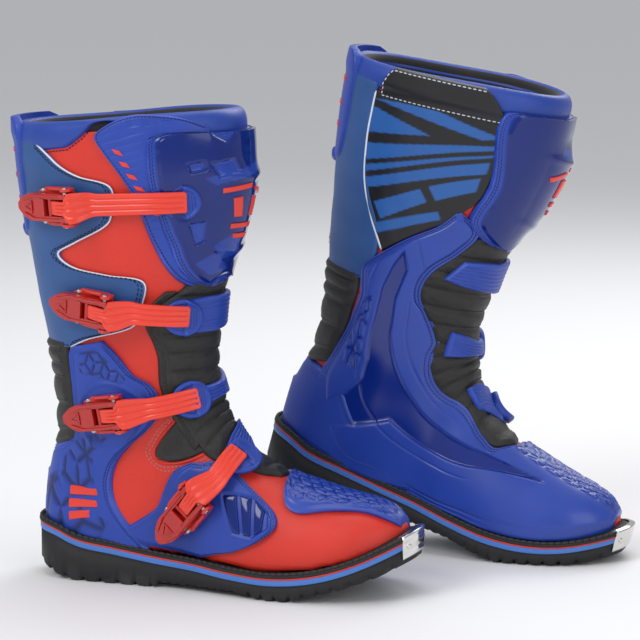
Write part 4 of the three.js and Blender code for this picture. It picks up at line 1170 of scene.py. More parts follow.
# %% [markdown]
# ## Bellows
# Stretch zones behind the heel and over the instep are sewn across into pads of black grained
# leather. Between two seams a pad swells as a half ellipse; at the seam it pulls tight. The
# pads' heights come from the distance along the boot, and a slower noise creases them.

# %% Front and rear bellows
def pads(seams, tall, seed):
    """Relief of sewn pads: between neighbouring seams, the height of a half ellipse."""
    seams = np.array(seams, float)

    def relief(s, a, edge, across):
        i = np.clip(np.searchsorted(seams, s, side="right") - 1, 0, len(seams) - 2)
        low, high = seams[i], seams[i + 1]
        t = np.clip((s - low) / (high - low) * 2 - 1, -1, 1)
        puff = np.sqrt(np.maximum(1 - t * t, 0))
        crease = (soft_noise(s * 2.2, a, seed, 22) * 0.3
                  + soft_noise(s * 4, a, seed + 1, 14) * 0.18)
        return (tall * puff + crease * puff) * smoothstep(edge, 0, 7)

    return relief


front_inner = [(324, -32), (310, -42), (296, -52), (284, -60), (272, -63), (262, -60), (252, -53),
               (240, -43), (226, -40), (212, -41), (198, -42), (184, -38), (170, -33),
               (156, -29), (142, -29), (128, -35), (112, -38), (99, -14)]
front_outer = [(324, 22), (311, 32), (299, 47), (284, 51), (269, 45), (257, 40), (246, 40),
               (236, 39), (226, 37), (212, 34), (203, 32), (188, 32), (170, 32), (156, 33), (142, 32),
               (128, 27), (112, 22), (101, 10)]
front_seams = [90, 112, 130, 147, 163, 179, 196, 213, 230, 246, 260, 275, 290, 306, 322]
front_pads = Panel(front_inner, front_outer, 3.0, -1.6, pitch=1.5,
                   relief=pads(front_seams, 3.0, 21))
for piece in on_both("front_pads", [front_pads.part], bellows_leather, front_pads.data,
                     ["front_bellows"]):
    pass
rear_outer = [(268, 136), (258, 138), (250, 138), (238, 138), (226, 139), (212, 142)]
rear_inner = [(268, 234), (258, 235), (250, 235), (238, 233), (226, 229), (212, 216)]
rear_seams = [206, 217, 226.5, 237, 248, 259, 272]
rear_pads = Panel(rear_outer, rear_inner, 2.6, -1.6, pitch=1.5, relief=pads(rear_seams, 3.6, 31))
for piece in on_both("rear_pads", [rear_pads.part], bellows_leather, rear_pads.data,
                     ["rear_bellows"]):
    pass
pad_threads = []
for station in front_seams[2:-1]:
    inner_at = np.interp(station, *np.array(front_inner[::-1], float).T)
    outer_at = np.interp(station, *np.array(front_outer[::-1], float).T)
    a = np.linspace(inner_at + 3, outer_at - 3, 60)
    s = np.full(60, float(station))
    edge = np.full(60, 6.0)
    pad_threads.append(seam(s + 1.6, a, front_pads.height(s + 1.6, a, edge) + 0.1, 2.8, 1.9, 0.4))
for station in rear_seams[1:-1]:
    outer_at = np.interp(station + 1.4, *np.array(rear_outer[::-1], float).T)
    inner_at = np.interp(station + 1.4, *np.array(rear_inner[::-1], float).T)
    a = np.linspace(outer_at + 4, inner_at - 6, 70)
    s = np.full(70, station + 1.4)
    pad_threads.append(seam(s, a, rear_pads.height(s, a, np.full(70, 6.0)), 2.8, 1.9, 0.4))
outer_line = [(310, 42), (299, 52), (284, 56), (269, 49), (257, 45), (240, 44), (226, 41),
              (203, 37), (188, 36), (170, 36)]
binding = Panel([(p[0], p[1] - 7) for p in outer_line], outer_line, 1.6, 0.4, pitch=1.6, foot=-2.4)
on_both("bellows_binding", [binding.part], bellows_leather, binding.data)
pad_threads += panel_seam(binding, [("b", 1.6), ("b", 3.6)], 2.8, 1.9, 0.4)
on_both("pad_stitches", pad_threads, black_thread)

# %% [markdown]
# ## Window at the ankle
# A small triangle of soft black leather lies in the red upper, so that the ankle can flex. Two
# rows of pale thread follow its outline.

# %% Ankle window
window_upper = [(189, 66), (192, 58), (196, 46), (201, 33)]
window_lower = [(185, 66), (179, 58), (171, 44), (163, 31)]
window = Panel(window_upper, window_lower, 1.6, -1.3, pitch=1.5, relief=leather_life(8, 0.5, 25))
on_both("ankle_window", [window.part], bellows_leather, window.data)
threads = []
for away in (3.4, 6.4):
    line = [(202 + away * 0.9, 34), (196 + away, 49), (191 + away, 62),
            (189 + away * 0.5, 68 + away), (184 - away * 0.6, 67 + away),
            (178 - away, 58), (170 - away, 45), (162 - away, 34)]
    s, a = walk(line, np.linspace(0, 1, 200)).T
    threads.append(seam(s, a, np.full(200, -1.75), 3.2, 2.2, 0.45))
on_both("window_stitches", threads, rose_thread)
groove_lip = [(203, 33), (197, 48), (192, 62), (187, 68.5), (183, 67), (178, 59), (170, 45),
              (161, 31)]
s, a = walk(groove_lip, np.linspace(0, 1, 200)).T
on_both("window_lip", [piping(s, a, np.full(200, -1.7), 0.9)], red_leather)

# %% [markdown]
# ## Moulded guards
# Blue polyurethane guards cover the ankle, the inner side, the midfoot and the toe. They are
# thick, so their rims are well rounded, and two channels run round each rim with a row of
# thread in each. Part of their faces carries a relief like stacked cubes, for grip, with
# painted shade in the grooves between the cubes.

# %% Ankle guard on the outer side
def heel_edge(angle):
    """Station just above the welt at an angle round the heel, found by halving."""
    low, high = 150.0, 213.0
    for _ in range(18):
        middle = (low + high) / 2
        p = surface(middle, angle, 1.0)
        if p[2] < welt_top(p[0]) + 0.6:
            low = middle
        else:
            high = middle
    return (high, angle)


ankle_front = [(270, 98), (260, 84), (250, 73), (243, 65), (237, 52), (229, 46), (219, 46),
               (210, 49), (204, 62), (201, 84), (196, 116), (186, 133), heel_edge(141),
               heel_edge(150), heel_edge(159), heel_edge(168), heel_edge(180), heel_edge(191),
               heel_edge(202), heel_edge(213), heel_edge(224), heel_edge(234)]
ankle_rear = [(264, 129), (258, 134), (250, 135), (242, 135), (234, 135), (226, 136),
              (219, 138), (214, 143), (213, 148), (213, 152), (213, 156), (213, 160), (213, 164),
              (213, 168), (213, 174), (213, 181), (213, 188), (212, 195), (211, 202), (209, 209),
              (206, 217), (200, 226)]
cube_zones = [
    [(260, 122), (264, 104), (250, 84), (240, 72), (236, 80), (240, 100), (243, 124)],
    [(208, 104), (205, 128), (190, 140), (196, 156), (208, 158), (213, 140), (214, 112)],
    [(180, 140), (176, 160), (172, 176), (190, 176), (205, 170), (206, 160), (192, 150)],
]


def cube_relief(zones, size, turn):
    """Relief of stacked cubes inside some zones, faded at their borders."""
    def relief(s, a):
        total = np.zeros(np.shape(s))
        for k, zone in enumerate(zones):
            inside = smoothstep(polygon_depth(zone, s, a), 0.2, 1.6)
            total = total + inside * (tumbling(s, a, size, turn) + 0.25)
        return total
    return relief


def cube_groove_shade(zones, size, turn, s, a):
    """1 in the grooves between the cubes inside some zones, 0 elsewhere: the mask of the painted
    shade in these grooves.
    """
    inside = np.max([smoothstep(polygon_depth(zone, s, a), 0.2, 1.6) for zone in zones], 0)
    return inside * tumbling(s, a, size, turn, only_lines=True)


ankle_cubes = cube_relief(cube_zones, 17, 0.4)


def ankle_relief(s, a, edge, across):
    """Rim channels, cubes, and a raised ring round the buckle's seat."""
    seat = np.hypot((s - 219) / 1.0, (a - 94) / 2.0)
    ring = 0.9 * np.exp(-((seat - 17.5) / 1.6) ** 2)
    flat = 1 - smoothstep(seat, 14, 17)
    return stitched_rim(edge) + ankle_cubes(s, a) * (1 - flat) * smoothstep(edge, 6, 8) + ring


ankle = Panel(ankle_front, ankle_rear, 4.4, -1.2, pitch=1.15, relief=ankle_relief)
# Painted shade: the grooves between the cubes get the moulding's darker second colour.
ankle.data["tint"] = ankle.both(cube_groove_shade(cube_zones, 17, 0.4, ankle.s, ankle.a))
on_both("ankle_guard", [ankle.part], blue_rubber, ankle.data, ["heel_counter"])
guard_threads = panel_seam(ankle, [("a", 2.6), ("a", 5.0)], 2.7, 1.9, 0.42)
heel_marks = [[(198.5, 151), (192.5, 137.5), (190.3, 138.5), (196.0, 152)],
              [(195.0, 153), (189.0, 141), (187.0, 142), (192.8, 154)],
              [(191.8, 154.5), (188.0, 147), (186.0, 148), (189.6, 155.5)]]
on_both("heel_badge", [bar(c, 1.6, 3.3, 1.0, 0.7).part for c in heel_marks], badge_red)

# %% [markdown]
# ## Inner guard with its glossy channel
# On the inner side one large moulding runs from the shin to the toe. A Y-shaped channel with a
# polished floor crosses it. Its depth is taken from the distance to the channel's outline, so
# the walls are even bevels, and the same mask makes it darker and glossier.

# %% Inner guard
def weld(s):
    """Address on the inner side where the guard meets the welt."""
    return (s, float(weld_angle(s, -1, 2.0)))


inner_front = [(343, -50), (329, -34), (309, -40), (289, -54), (274, -59), (261, -56),
               (252, -46), (231, -33), (214, -36), (196, -37), (178, -33), (156, -25), (139, -26),
               (124, -35), (111, -40), (98, -17), (95, 12), (92, 46), (87, 66), (75, 72),
               (52, 62), (29, 53), (13, 56), (3, 62)]
inner_low = [(341, -53), (325, -64), (308, -86), (293, -104), (276, -122), (263, -122),
             (251, -120), (231, -125), (219, -137), (209, -151), (197, -153), weld(179),
             weld(168), weld(152), weld(132), weld(112), weld(100), weld(94), weld(86),
             weld(72), weld(50), weld(29), weld(14), weld(3)]
channels = [
    [(300, -84), (284, -76), (258, -80), (230, -76), (208, -68), (186, -60), (156, -52),
     (118, -52), (66, -58), (64, -61), (110, -70), (150, -82), (176, -96), (196, -104),
     (214, -102), (236, -98), (264, -98), (284, -92)],
    [(216, -100), (205, -112), (200, -130), (198, -146), (190, -148), (184, -130), (180, -108),
     (178, -94), (196, -90)],
]
inner_cube_zones = [
    [(256, -104), (236, -103), (214, -106), (208, -114), (212, -128), (232, -118), (252, -112)],
    [(101, -26), (99, 8), (93, 38), (84, 56), (60, 54), (32, 44), (4, 48), (4, -44), (30, -46),
     (62, -40), (88, -32)],
]
inner_cubes = cube_relief(inner_cube_zones, 17, 0.25)


def channel_mask(s, a, wide=2.4):
    """1 on the channel's floor, falling to 0 over its bevel."""
    depth = np.maximum(polygon_depth(channels[0], s, a), polygon_depth(channels[1], s, a))
    return smoothstep(depth, -0.5, wide)


def inner_relief(s, a, edge, across):
    """Rim channels, cubes, the polished channel and a few flow lines."""
    rim = stitched_rim(edge, 2.8, 5.4) * smoothstep(s, 92, 104)
    crest = polygon_depth(channels[0], s, a)
    lines = groove(crest + 13, 0.7, 0.8) * smoothstep(s, 120, 150) * smoothstep(edge, 6, 10)
    far = smoothstep(edge, 5.5, 9)
    return (rim + lines + inner_cubes(s, a) * (0.35 + 0.65 * far)
            + 0.9 * far - 3.0 * channel_mask(s, a, 2.2) * far)


inner_guard = Panel(inner_front, inner_low, 4.2, -1.2, pitch=1.16, relief=inner_relief)
# The channel floor takes the darker glossy finish; the grooves between the cubes take the same darker
# colour as painted shade.
inner_guard.data["tint"] = inner_guard.both(channel_mask(inner_guard.s, inner_guard.a)
                                            * smoothstep(inner_guard.edge, 5, 8)
                                            + 0.9 * cube_groove_shade(inner_cube_zones, 17, 0.25,
                                                               inner_guard.s, inner_guard.a))
on_both("inner_guard", [inner_guard.part], guard_blue, inner_guard.data, ["medial_guard"])
s, a, h = inner_guard.path("a", 2.8)
keep = s > 104
guard_threads += [seam(s[keep], a[keep], h[keep], 2.7, 1.9, 0.42)]
s, a, h = inner_guard.path("a", 5.4)
keep = s > 108
guard_threads += [seam(s[keep], a[keep], h[keep], 2.7, 1.9, 0.42)]
s, a, h = inner_guard.path("b", 2.8)
keep = s > 214
guard_threads += [seam(s[keep], a[keep], h[keep], 2.7, 1.9, 0.42)]

# %% [markdown]
# ## Midfoot guard
# This guard lies under the lowest buckle. In its front corner sits a glossy vent with three
# slanted ribs, a separate hard piece in a recess.

# %% Midfoot guard and its vent
mid_rear = [(167, 45), (172, 56), (173, 69), (171, 89), (169, 110), (172, 130), (176, 145)]
mid_front = [(152, 35), (129, 38), (116, 49), (105, 61), (95, 76), (94, 90), (107, 103), (131, 116),
             (142, 127)]
vent_shape = [(137, 60), (126, 57), (114, 58), (100, 75), (99, 90), (112, 100), (128, 98)]


def mid_relief(s, a, edge, across):
    """Rim channels and the recess for the vent."""
    inside = polygon_depth(vent_shape, s, a)
    return stitched_rim(edge) - 1.6 * smoothstep(inside, -0.4, 1.0) + 0.5 * np.exp(
        -((inside + 1.4) / 0.9) ** 2)


midfoot = Panel(mid_rear, mid_front, 3.8, -1.2, pitch=1.3, relief=mid_relief)
on_both("midfoot_guard_skin", [midfoot.part], blue_rubber, midfoot.data, ["midfoot_guard"])
guard_threads += panel_seam(midfoot, [("b", 2.6), ("b", 5.0), ("start", 2.6), ("start", 5.0),
                                      ("end", 2.6)], 2.7, 1.9, 0.42)
on_both("guard_stitches", guard_threads, navy_thread)
vent_ribs = [[(136, 61), (128, 97), (122, 98), (127, 59)],
             [(124, 59), (119, 98), (113, 98.5), (115, 60)],
             [(112, 62), (110, 97), (104, 92), (103, 73)]]


vent = [bar(c, 1.5, 1.0, 1.0, 0.7, relief=lambda s, a, e, x: 0.25 * smoothstep(e, 0, 3)).part
        for c in vent_ribs]
vent_data = {"tint": np.ones(sum(len(p) for p, _ in vent))}
on_both("vent", vent, gloss_blue, vent_data, None)

# %% [markdown]
# ## Shin plate and gaiter
# The shin is covered by a hard glossy plate on a softer moulded gaiter, whose flange fans back
# over the upper in ribs. The plate steps up inside its stitched rim, carries a spine down its
# middle, and has three slanted recesses. Red bars of our own stand on its front.

# %% Gaiter flange
flange_outer = [(438, 26), (445, 40), (447, 56), (446, 68), (440, 82), (430, 93), (418, 87),
                (405, 78), (392, 70), (379, 64), (368, 60), (356, 56), (344, 51), (330, 44),
                (318, 34), (311, 20), (309, 2)]
flange_inner = [(430, 24), (431, 34), (431, 44), (431, 50), (430, 54), (428, 56), (416, 56),
                (404, 56), (391, 54), (380, 52), (368, 48), (357, 45), (346, 41), (336, 37),
                (326, 32), (319, 18), (315, 2)]
flange_marks = [[(443, 70), (443, 64), (438, 62), (437, 68)],
                [(444, 61), (444, 55), (438, 53), (438, 59)],
                [(444, 51), (443, 43), (439, 42), (438, 50)]]


def flange_relief(s, a, edge, across):
    """Fanned ribs over the gaiter, and a few pressed shapes near the rim."""
    fan = (s + 0.28 * (a - 60) * (1 + (s - 400) / 160)) / 6.2
    rib = -0.75 * np.exp(-((np.abs((fan % 1) - 0.5) - 0.5) / 0.1) ** 2)
    pressed = sum(smoothstep(polygon_depth(c, s, a), 0, 0.9) for c in flange_marks)
    return (groove(edge - 2.4, 0.6) + rib * smoothstep(edge, 3.4, 5) * (1 - smoothstep(s, 430, 437))
            - 0.8 * pressed)


flange = Panel(flange_outer, flange_inner, 3.0, 0.4, pitch=1.3, relief=flange_relief, foot=-2.2)
on_both("gaiter_flange", [flange.part], blue_rubber, flange.data, None)
on_both("flange_stitches", panel_seam(flange, [("a", 2.4)], 2.8, 1.9, 0.42), navy_thread)
flange_bars = []
for k in range(6):
    s0 = 421 - 9.2 * k
    a0 = 80 - 4.6 * k
    slanted = [(s0, a0), (s0 - 1.5, a0 - 5.5), (s0 - 5.5, a0 - 8.0), (s0 - 4, a0 - 2.4)]
    flange_bars.append(bar(slanted, 1.0, 2.8, 1.0, 0.5).part)
on_both("flange_badge", flange_bars, badge_red)

# %% Glossy shin plate
plate_outer = [(433, 24), (433, 38), (432, 50), (427, 57.5), (416, 58), (404, 57.5), (391, 56),
               (380, 53), (368, 50), (357, 47), (346, 43), (336, 40), (326, 35), (317, 27),
               (312, 14)]
plate_inner = [(433, 12), (433, -10), (433, -28), (430, -43), (418, -46), (405, -45), (393, -43),
               (380, -41), (369, -40), (358, -41), (347, -43), (337, -43), (329, -37), (321, -26),
               (315, -6)]
recesses = [[(410, 38), (412, 30), (405, 28.5), (402, 36)],
            [(410, 27), (413, 14), (402, 11), (398, 23)],
            [(364, 36), (366, 26), (350, 26), (346, 31)]]


def plate_relief(s, a, edge, across):
    """Stitched rim, a bevelled step, the spine, facets at both ends, and the recesses."""
    step = 2.6 * smoothstep(edge, 7.0, 11.0)
    spine = 5.0 * np.maximum(0, 1 - np.abs(a - 5) / 20)
    reach = smoothstep(s, 322, 352) * (1 - smoothstep(s, 396, 418))
    brow = 1.6 * np.exp(-((s - 397 - 0.25 * np.abs(a - 4)) / 3.0) ** 2) * (1 - smoothstep(
        np.abs(a - 4), 14, 26))
    chin = 1.4 * np.exp(-((s - 338 - 0.35 * np.abs(a - 4)) / 3.5) ** 2) * (1 - smoothstep(
        np.abs(a - 4), 16, 26))
    hollow = sum(smoothstep(polygon_depth(c, s, a), -0.2, 1.3) for c in recesses)
    scoop = 1.6 * np.exp(-(np.hypot((s - 382) / 1.0, (a - 34) / 0.95) / 17) ** 6)
    return (stitched_rim(edge, 2.4, 4.8) + step + spine * reach + brow + chin - 2.6 * hollow
            - scoop)


plate = Panel(plate_outer, plate_inner, 3.4, 1.6, pitch=1.25, relief=plate_relief, foot=-1.8)
inside_rim = smoothstep(plate.edge, 6.5, 8.5)
matt = np.zeros(np.shape(plate.s))
for c in recesses:
    matt = np.maximum(matt, smoothstep(polygon_depth(c, plate.s, plate.a), 0.2, 1.2))
for patch in ([(346, 22), (356, 10), (338, 2), (334, 16)],
              [(399, 30), (410, -6), (404, -8), (393, 24)],
              [(332, 30), (340, 20), (326, 6), (322, 20)]):
    matt = np.maximum(matt, smoothstep(polygon_depth(patch, plate.s, plate.a), -0.2, 0.5) * 0.8)
plate.data["tint"] = plate.both(inside_rim * (1 - matt))
on_both("shin_plate_shell", [plate.part], gloss_blue, plate.data, ["shin_plate"])
on_both("plate_stitches", panel_seam(plate, [("a", 2.4), ("a", 4.8), ("b", 2.4), ("b", 4.8)],
                                     2.8, 1.9, 0.42), navy_thread)


def plate_height(s, a):
    """Height of the plate's face at an address well inside it."""
    return float(plate.height(np.array([s], float), np.array([a], float), np.array([30.0]))[0])


def on_plate(corners, thick=1.6):
    """A raised red bar whose foot follows the plate's face."""
    first, second, third, fourth = corners
    face = lambda s, a, edge, across: plate.height(s, a, np.full(np.shape(s), 30.0)) - 0.3
    return Panel([first, second], [fourth, third], thick, 0.0, 4.0, 1.1, 0.7, face).part


shin_badge = [on_plate(c) for c in (
    [(391, 21), (394, 6), (389, 6), (386, 21)],
    [(391, 2), (386, -12), (381, -11), (387, 3)],
    [(383, 16), (384, 11), (367, 9), (367, 14)],
    [(384, 5), (383, 0), (366, 0), (367, 5)],
    [(363, 15), (363, 1), (358, 1), (358, 15)],
    [(355, 13), (355, 3), (350, 4), (350, 12)],
)]
on_both("shin_badge", shin_badge, badge_red)
print("plate face", round(plate_height(380, 5), 2))

# %% [markdown]
# ## Straps over the instep
# Three ribbed rubber straps cross the bellows from the inner guard. Their outer ends carry the
# catches, round pads with ribs that a buckle strap clips into. The ribs run along each strap
# and gather toward its ends.

# %% Ribbed front straps
front_straps = {
    2: ([(303, -37), (304, -30), (305, -22), (305, -14), (305, -5), (305, 8), (305, 18),
         (304, 26), (302, 34), (299, 42)],
        [(285, -47), (283, -38), (281, -27), (280, -16), (278, -5), (277, 8), (277, 18),
         (277, 26), (279, 34), (282, 42)]),
    3: ([(243, -29), (242, -21), (240, -14), (238, -8), (236, -2), (234, 4), (233, 10),
         (232, 17), (231, 24), (229, 31)],
        [(214, -31), (211, -22), (208, -14), (206, -8), (204, -2), (203, 4), (202, 10),
         (202, 17), (203, 24), (205, 31)]),
    4: ([(163, -19), (158, -10), (152, -2), (149, 5), (147, 13), (145, 22), (142, 31)],
        [(138, -19), (130, -10), (124, -2), (120, 5), (118, 13), (117, 22), (119, 31)]),
}


def strap_ribs(s, a, edge, across):
    """Ribs along the strap, every 3.4 mm of its width, fading at the rim."""
    phase = np.abs(((across / 3.4) % 1) - 0.5) if across is not None else 0.0
    return -0.9 * np.exp(-(phase / 0.13) ** 2) * smoothstep(edge, 0.8, 2.0)


for number, (upper, lower) in front_straps.items():
    strap = Panel(upper, lower, 3.4, 5.0, pitch=0.9, relief=strap_ribs, foot=3.6, round_edge=1.6)
    on_both(f"instep_strap_{number}", [strap.part], blue_rubber, strap.data,
            [f"front_strap_{number}"])

# %% [markdown]
# ## Buckles
# Each buckle is a riveted base with two ears and a steel pin, a lever that swings on the pin,
# and a ribbed strap that is held by the lever's lock bar, passes over the pin and ends at a
# catch. Their places come from the last: a direction along the lever, one outward, one across.
# A buckle is drawn in those three directions and then carried to its place.

# %% Frames of the four buckles
PIN_AT, PIN_RISE, BASE_THICK, BASE_LIFT = -13.0, 5.0, 2.4, 0.9
PIN_RADIUS, LOCK_BACK, LOCK_RADIUS, EAR_IN, EAR_OUT = 1.5, 15, 1.6, 12.4, 15.0
HALF_LONG, HALF_WIDE = 17, 15
buckles = [
    dict(base=(376, 122), end=(381, 38), cover=3.0, rest=6.8),
    dict(base=(297, 102), end=(291, 31), cover=3.0, rest=9.2),
    dict(base=(221, 98), end=(217, 24), cover=3.6, rest=9.2),
    dict(base=(153, 88), end=(131, 22), cover=3.4, rest=9.2),
]


def axes_at(point, toward):
    """Outward normal at a point, the direction away from another point, and across."""
    slope = []
    for axis in np.eye(3):
        p, q = point + axis * 0.5, point - axis * 0.5
        slope.append(float(skin_distance(*p) - skin_distance(*q)))
    n = np.array(slope) / np.linalg.norm(slope)
    a = point - toward
    a -= n * a.dot(n)
    a /= np.linalg.norm(a)
    return a, np.cross(n, a), n


def height_over(point, a, b, n, x, y, cover):
    """Height over the buckle's plane at which the covered skin lies, found by halving."""
    foot = point + a * x + b * y
    low, high = -60.0, 40.0
    for _ in range(26):
        middle = (low + high) / 2
        if skin_distance(*(foot + n * middle)) < cover:
            low = middle
        else:
            high = middle
    return high


for item in buckles:
    point, far = surface(*item["base"]), surface(*item["end"])
    item["point"], item["axes"] = point, axes_at(point, far)
    heights = [height_over(point, *item["axes"], x, y, item["cover"])
               for x in (-HALF_LONG, 0, HALF_LONG) for y in (-HALF_WIDE, 0, HALF_WIDE)]
    item["floor"] = max(heights) + BASE_LIFT
    item["pin"] = item["floor"] + BASE_THICK + PIN_RISE
print("pins", [round(item["pin"], 2) for item in buckles])


def carried(item, part):
    """A part drawn in the buckle's own directions, moved to its place on the boot."""
    a, b, n = item["axes"]
    p, faces = part
    return item["point"] + p[:, :1] * a + p[:, 1:2] * b + p[:, 2:3] * n, faces


def prism(outline_points, low, high):
    """A flat shape given a height: its outline repeated at two heights, with walls."""
    xy = np.array(outline_points, float)
    k = len(xy)
    points = np.concatenate([np.c_[xy, np.full(k, low)], np.c_[xy, np.full(k, high)]])
    j = np.arange(k)
    n = (j + 1) % k
    return points, [np.stack([j, n, n + k, j + k], 1), j[None, ::-1], (j + k)[None]]


def round_bar(x, z, radius, half, sides=16):
    """A bar across the buckle."""
    turn = np.arange(sides) * 2 * np.pi / sides
    ring = np.stack([x + radius * np.cos(turn), 0 * turn, z + radius * np.sin(turn)], -1)
    ends = np.array([-half, -half + 0.3, half - 0.3, half])
    loops = ring[None] + np.stack([0 * ends, ends, 0 * ends], -1)[:, None]
    loops[[0, -1]] = (loops[[0, -1]] - loops[[0, -1]].mean(1, keepdims=True)) * 0.8 \
        + loops[[0, -1]].mean(1, keepdims=True)
    return closed_loops(loops)


def side_plate(y0, y1, outline_xz):
    """An ear: an outline in the plane of the lever's swing, given a width."""
    part, faces = prism(outline_xz, y0, y1)
    return part[:, [0, 2, 1]], faces


# %% Bases, ears, pins and rivets
for number, item in enumerate(buckles, 1):
    floor_z, pin_z = item["floor"], item["pin"]
    plate_line = [(-17, -12), (-13, -15), (8, -15), (13, -13), (17, -8), (17, 8), (13, 13),
                  (8, 15), (-13, 15), (-17, 12)]
    base = [prism(plate_line, floor_z - 0.9, floor_z + BASE_THICK)]
    top = pin_z + 2.9
    ear = [(-18, floor_z + 1), (-18.4, pin_z - 1.5), (-17, top - 1.2), (-14.8, top),
           (-11.2, top), (-9.4, top - 1.4), (-7.6, pin_z - 3.0), (-1, floor_z + 4.4),
           (6, floor_z + 3.4), (7, floor_z + 1)]
    for side_y in (-1, 1):
        y0, y1 = sorted((side_y * EAR_IN, side_y * EAR_OUT))
        base.append(side_plate(y0, y1, ear))
        base.append(prism([(7, side_y * 9.6), (15, side_y * 9.6), (15.6, side_y * 12.2),
                           (8, side_y * 14.2)], floor_z + 2, floor_z + 3.2))
    on_both(f"buckle_{number}_base", [carried(item, p) for p in base], buckle_red, None,
            [f"buckle_base_{number}"], bevel=0.55)
    metal = [round_bar(PIN_AT, pin_z, PIN_RADIUS, EAR_OUT + 0.4)]
    for side_y in (-1, 1):
        metal.append(dome((PIN_AT, side_y * EAR_OUT, pin_z), (0, side_y, 0), 2.2, 0.9))
        metal.append(dome((11.3, side_y * 12.0, floor_z + 3.1), (0, 0, 1), 2.0, 1.0))
    on_both(f"buckle_{number}_pin", [carried(item, p) for p in metal], steel, None, None)

# %% Levers
def bent(part, pin_z):
    """Lowers a lever's tail along a parabola, so that it follows the leg."""
    p, faces = part
    p = p.copy()
    back_by = np.maximum(p[:, 0] - (PIN_AT + 20), 0)
    p[:, 2] -= 4.2 * (back_by / 28) ** 2
    return p, faces


def lever_outline(half, window, front, tail, back_edge):
    """Plan of the lever: two arms round a window, joined by a pointed tail."""
    steps = np.linspace(0, 1, 9)
    side = [(PIN_AT + 27 + (tail - 27) * t, half * (1 - t ** 2.2) + 2.3 * t) for t in steps]
    right_side = [(x, -y) for x, y in side]
    line = [(PIN_AT + front, -half + 1.2), (PIN_AT + front + 1.2, -half),
            (PIN_AT + 12, -half - 0.5)]
    line += right_side + side[::-1]
    line += [(PIN_AT + 12, half + 0.5), (PIN_AT + front + 1.2, half), (PIN_AT + front, half - 1.2),
             (PIN_AT + front, window), (PIN_AT + back_edge, window), (PIN_AT + back_edge, -window),
             (PIN_AT + front, -window)]
    return line


for number, item in enumerate(buckles, 1):
    z = item["pin"]
    parts = [prism(lever_outline(10.6, 6.6, -3.6, 48, 19), z - 2.8, z + 2.4)]
    for side_y in (-1, 1):
        rail = [(PIN_AT - 2.6, side_y * 10.2), (PIN_AT + 30, side_y * 10.2),
                (PIN_AT + 41, side_y * 6.0), (PIN_AT + 40, side_y * 4.6),
                (PIN_AT + 29, side_y * 8.2), (PIN_AT - 2.6, side_y * 8.4)]
        parts.append(prism(rail, z + 2, z + 3.7))
        knuckle = [(PIN_AT - 3.2, side_y * 10.9), (PIN_AT + 3.2, side_y * 10.9),
                   (PIN_AT + 3.2, side_y * 7.2), (PIN_AT - 3.2, side_y * 7.2)]
        parts.append(prism(knuckle, z + 2, z + 4.3))
    tip_x = PIN_AT + 41
    wedge = [(tip_x, 0), (tip_x - 9.5, 5.4), (tip_x - 9.5, -5.4)]
    inner = [(tip_x - 2.6, 0), (tip_x - 8.4, 3.4), (tip_x - 8.4, -3.4)]
    for k in range(3):
        n = (k + 1) % 3
        parts.append(prism([wedge[k], wedge[n], inner[n], inner[k]], z + 2, z + 3.0))
    bar_line = [(PIN_AT + 19, -7), (PIN_AT + 23, -7), (PIN_AT + 23, 7), (PIN_AT + 19, 7)]
    parts.append(prism(bar_line, z + 2, z + 3.1))
    moved = [carried(item, bent(p, z)) for p in parts]
    moved.append(carried(item, round_bar(PIN_AT + LOCK_BACK, z, LOCK_RADIUS, 7.4, 12)))
    on_both(f"buckle_{number}_lever", moved, lever_red, None, [f"buckle_lever_{number}"],
            part=f"lever_{number}", bevel=0.6)

# %% [markdown]
# ## Buckle straps
# Each strap is one moulding of springy red plastic: a narrow tongue between the lever's arms,
# wide shoulders just past the pin, then an even band with three grooves. Its middle line runs
# over the pin and then along the boot at an even height, and sections are set square to it.

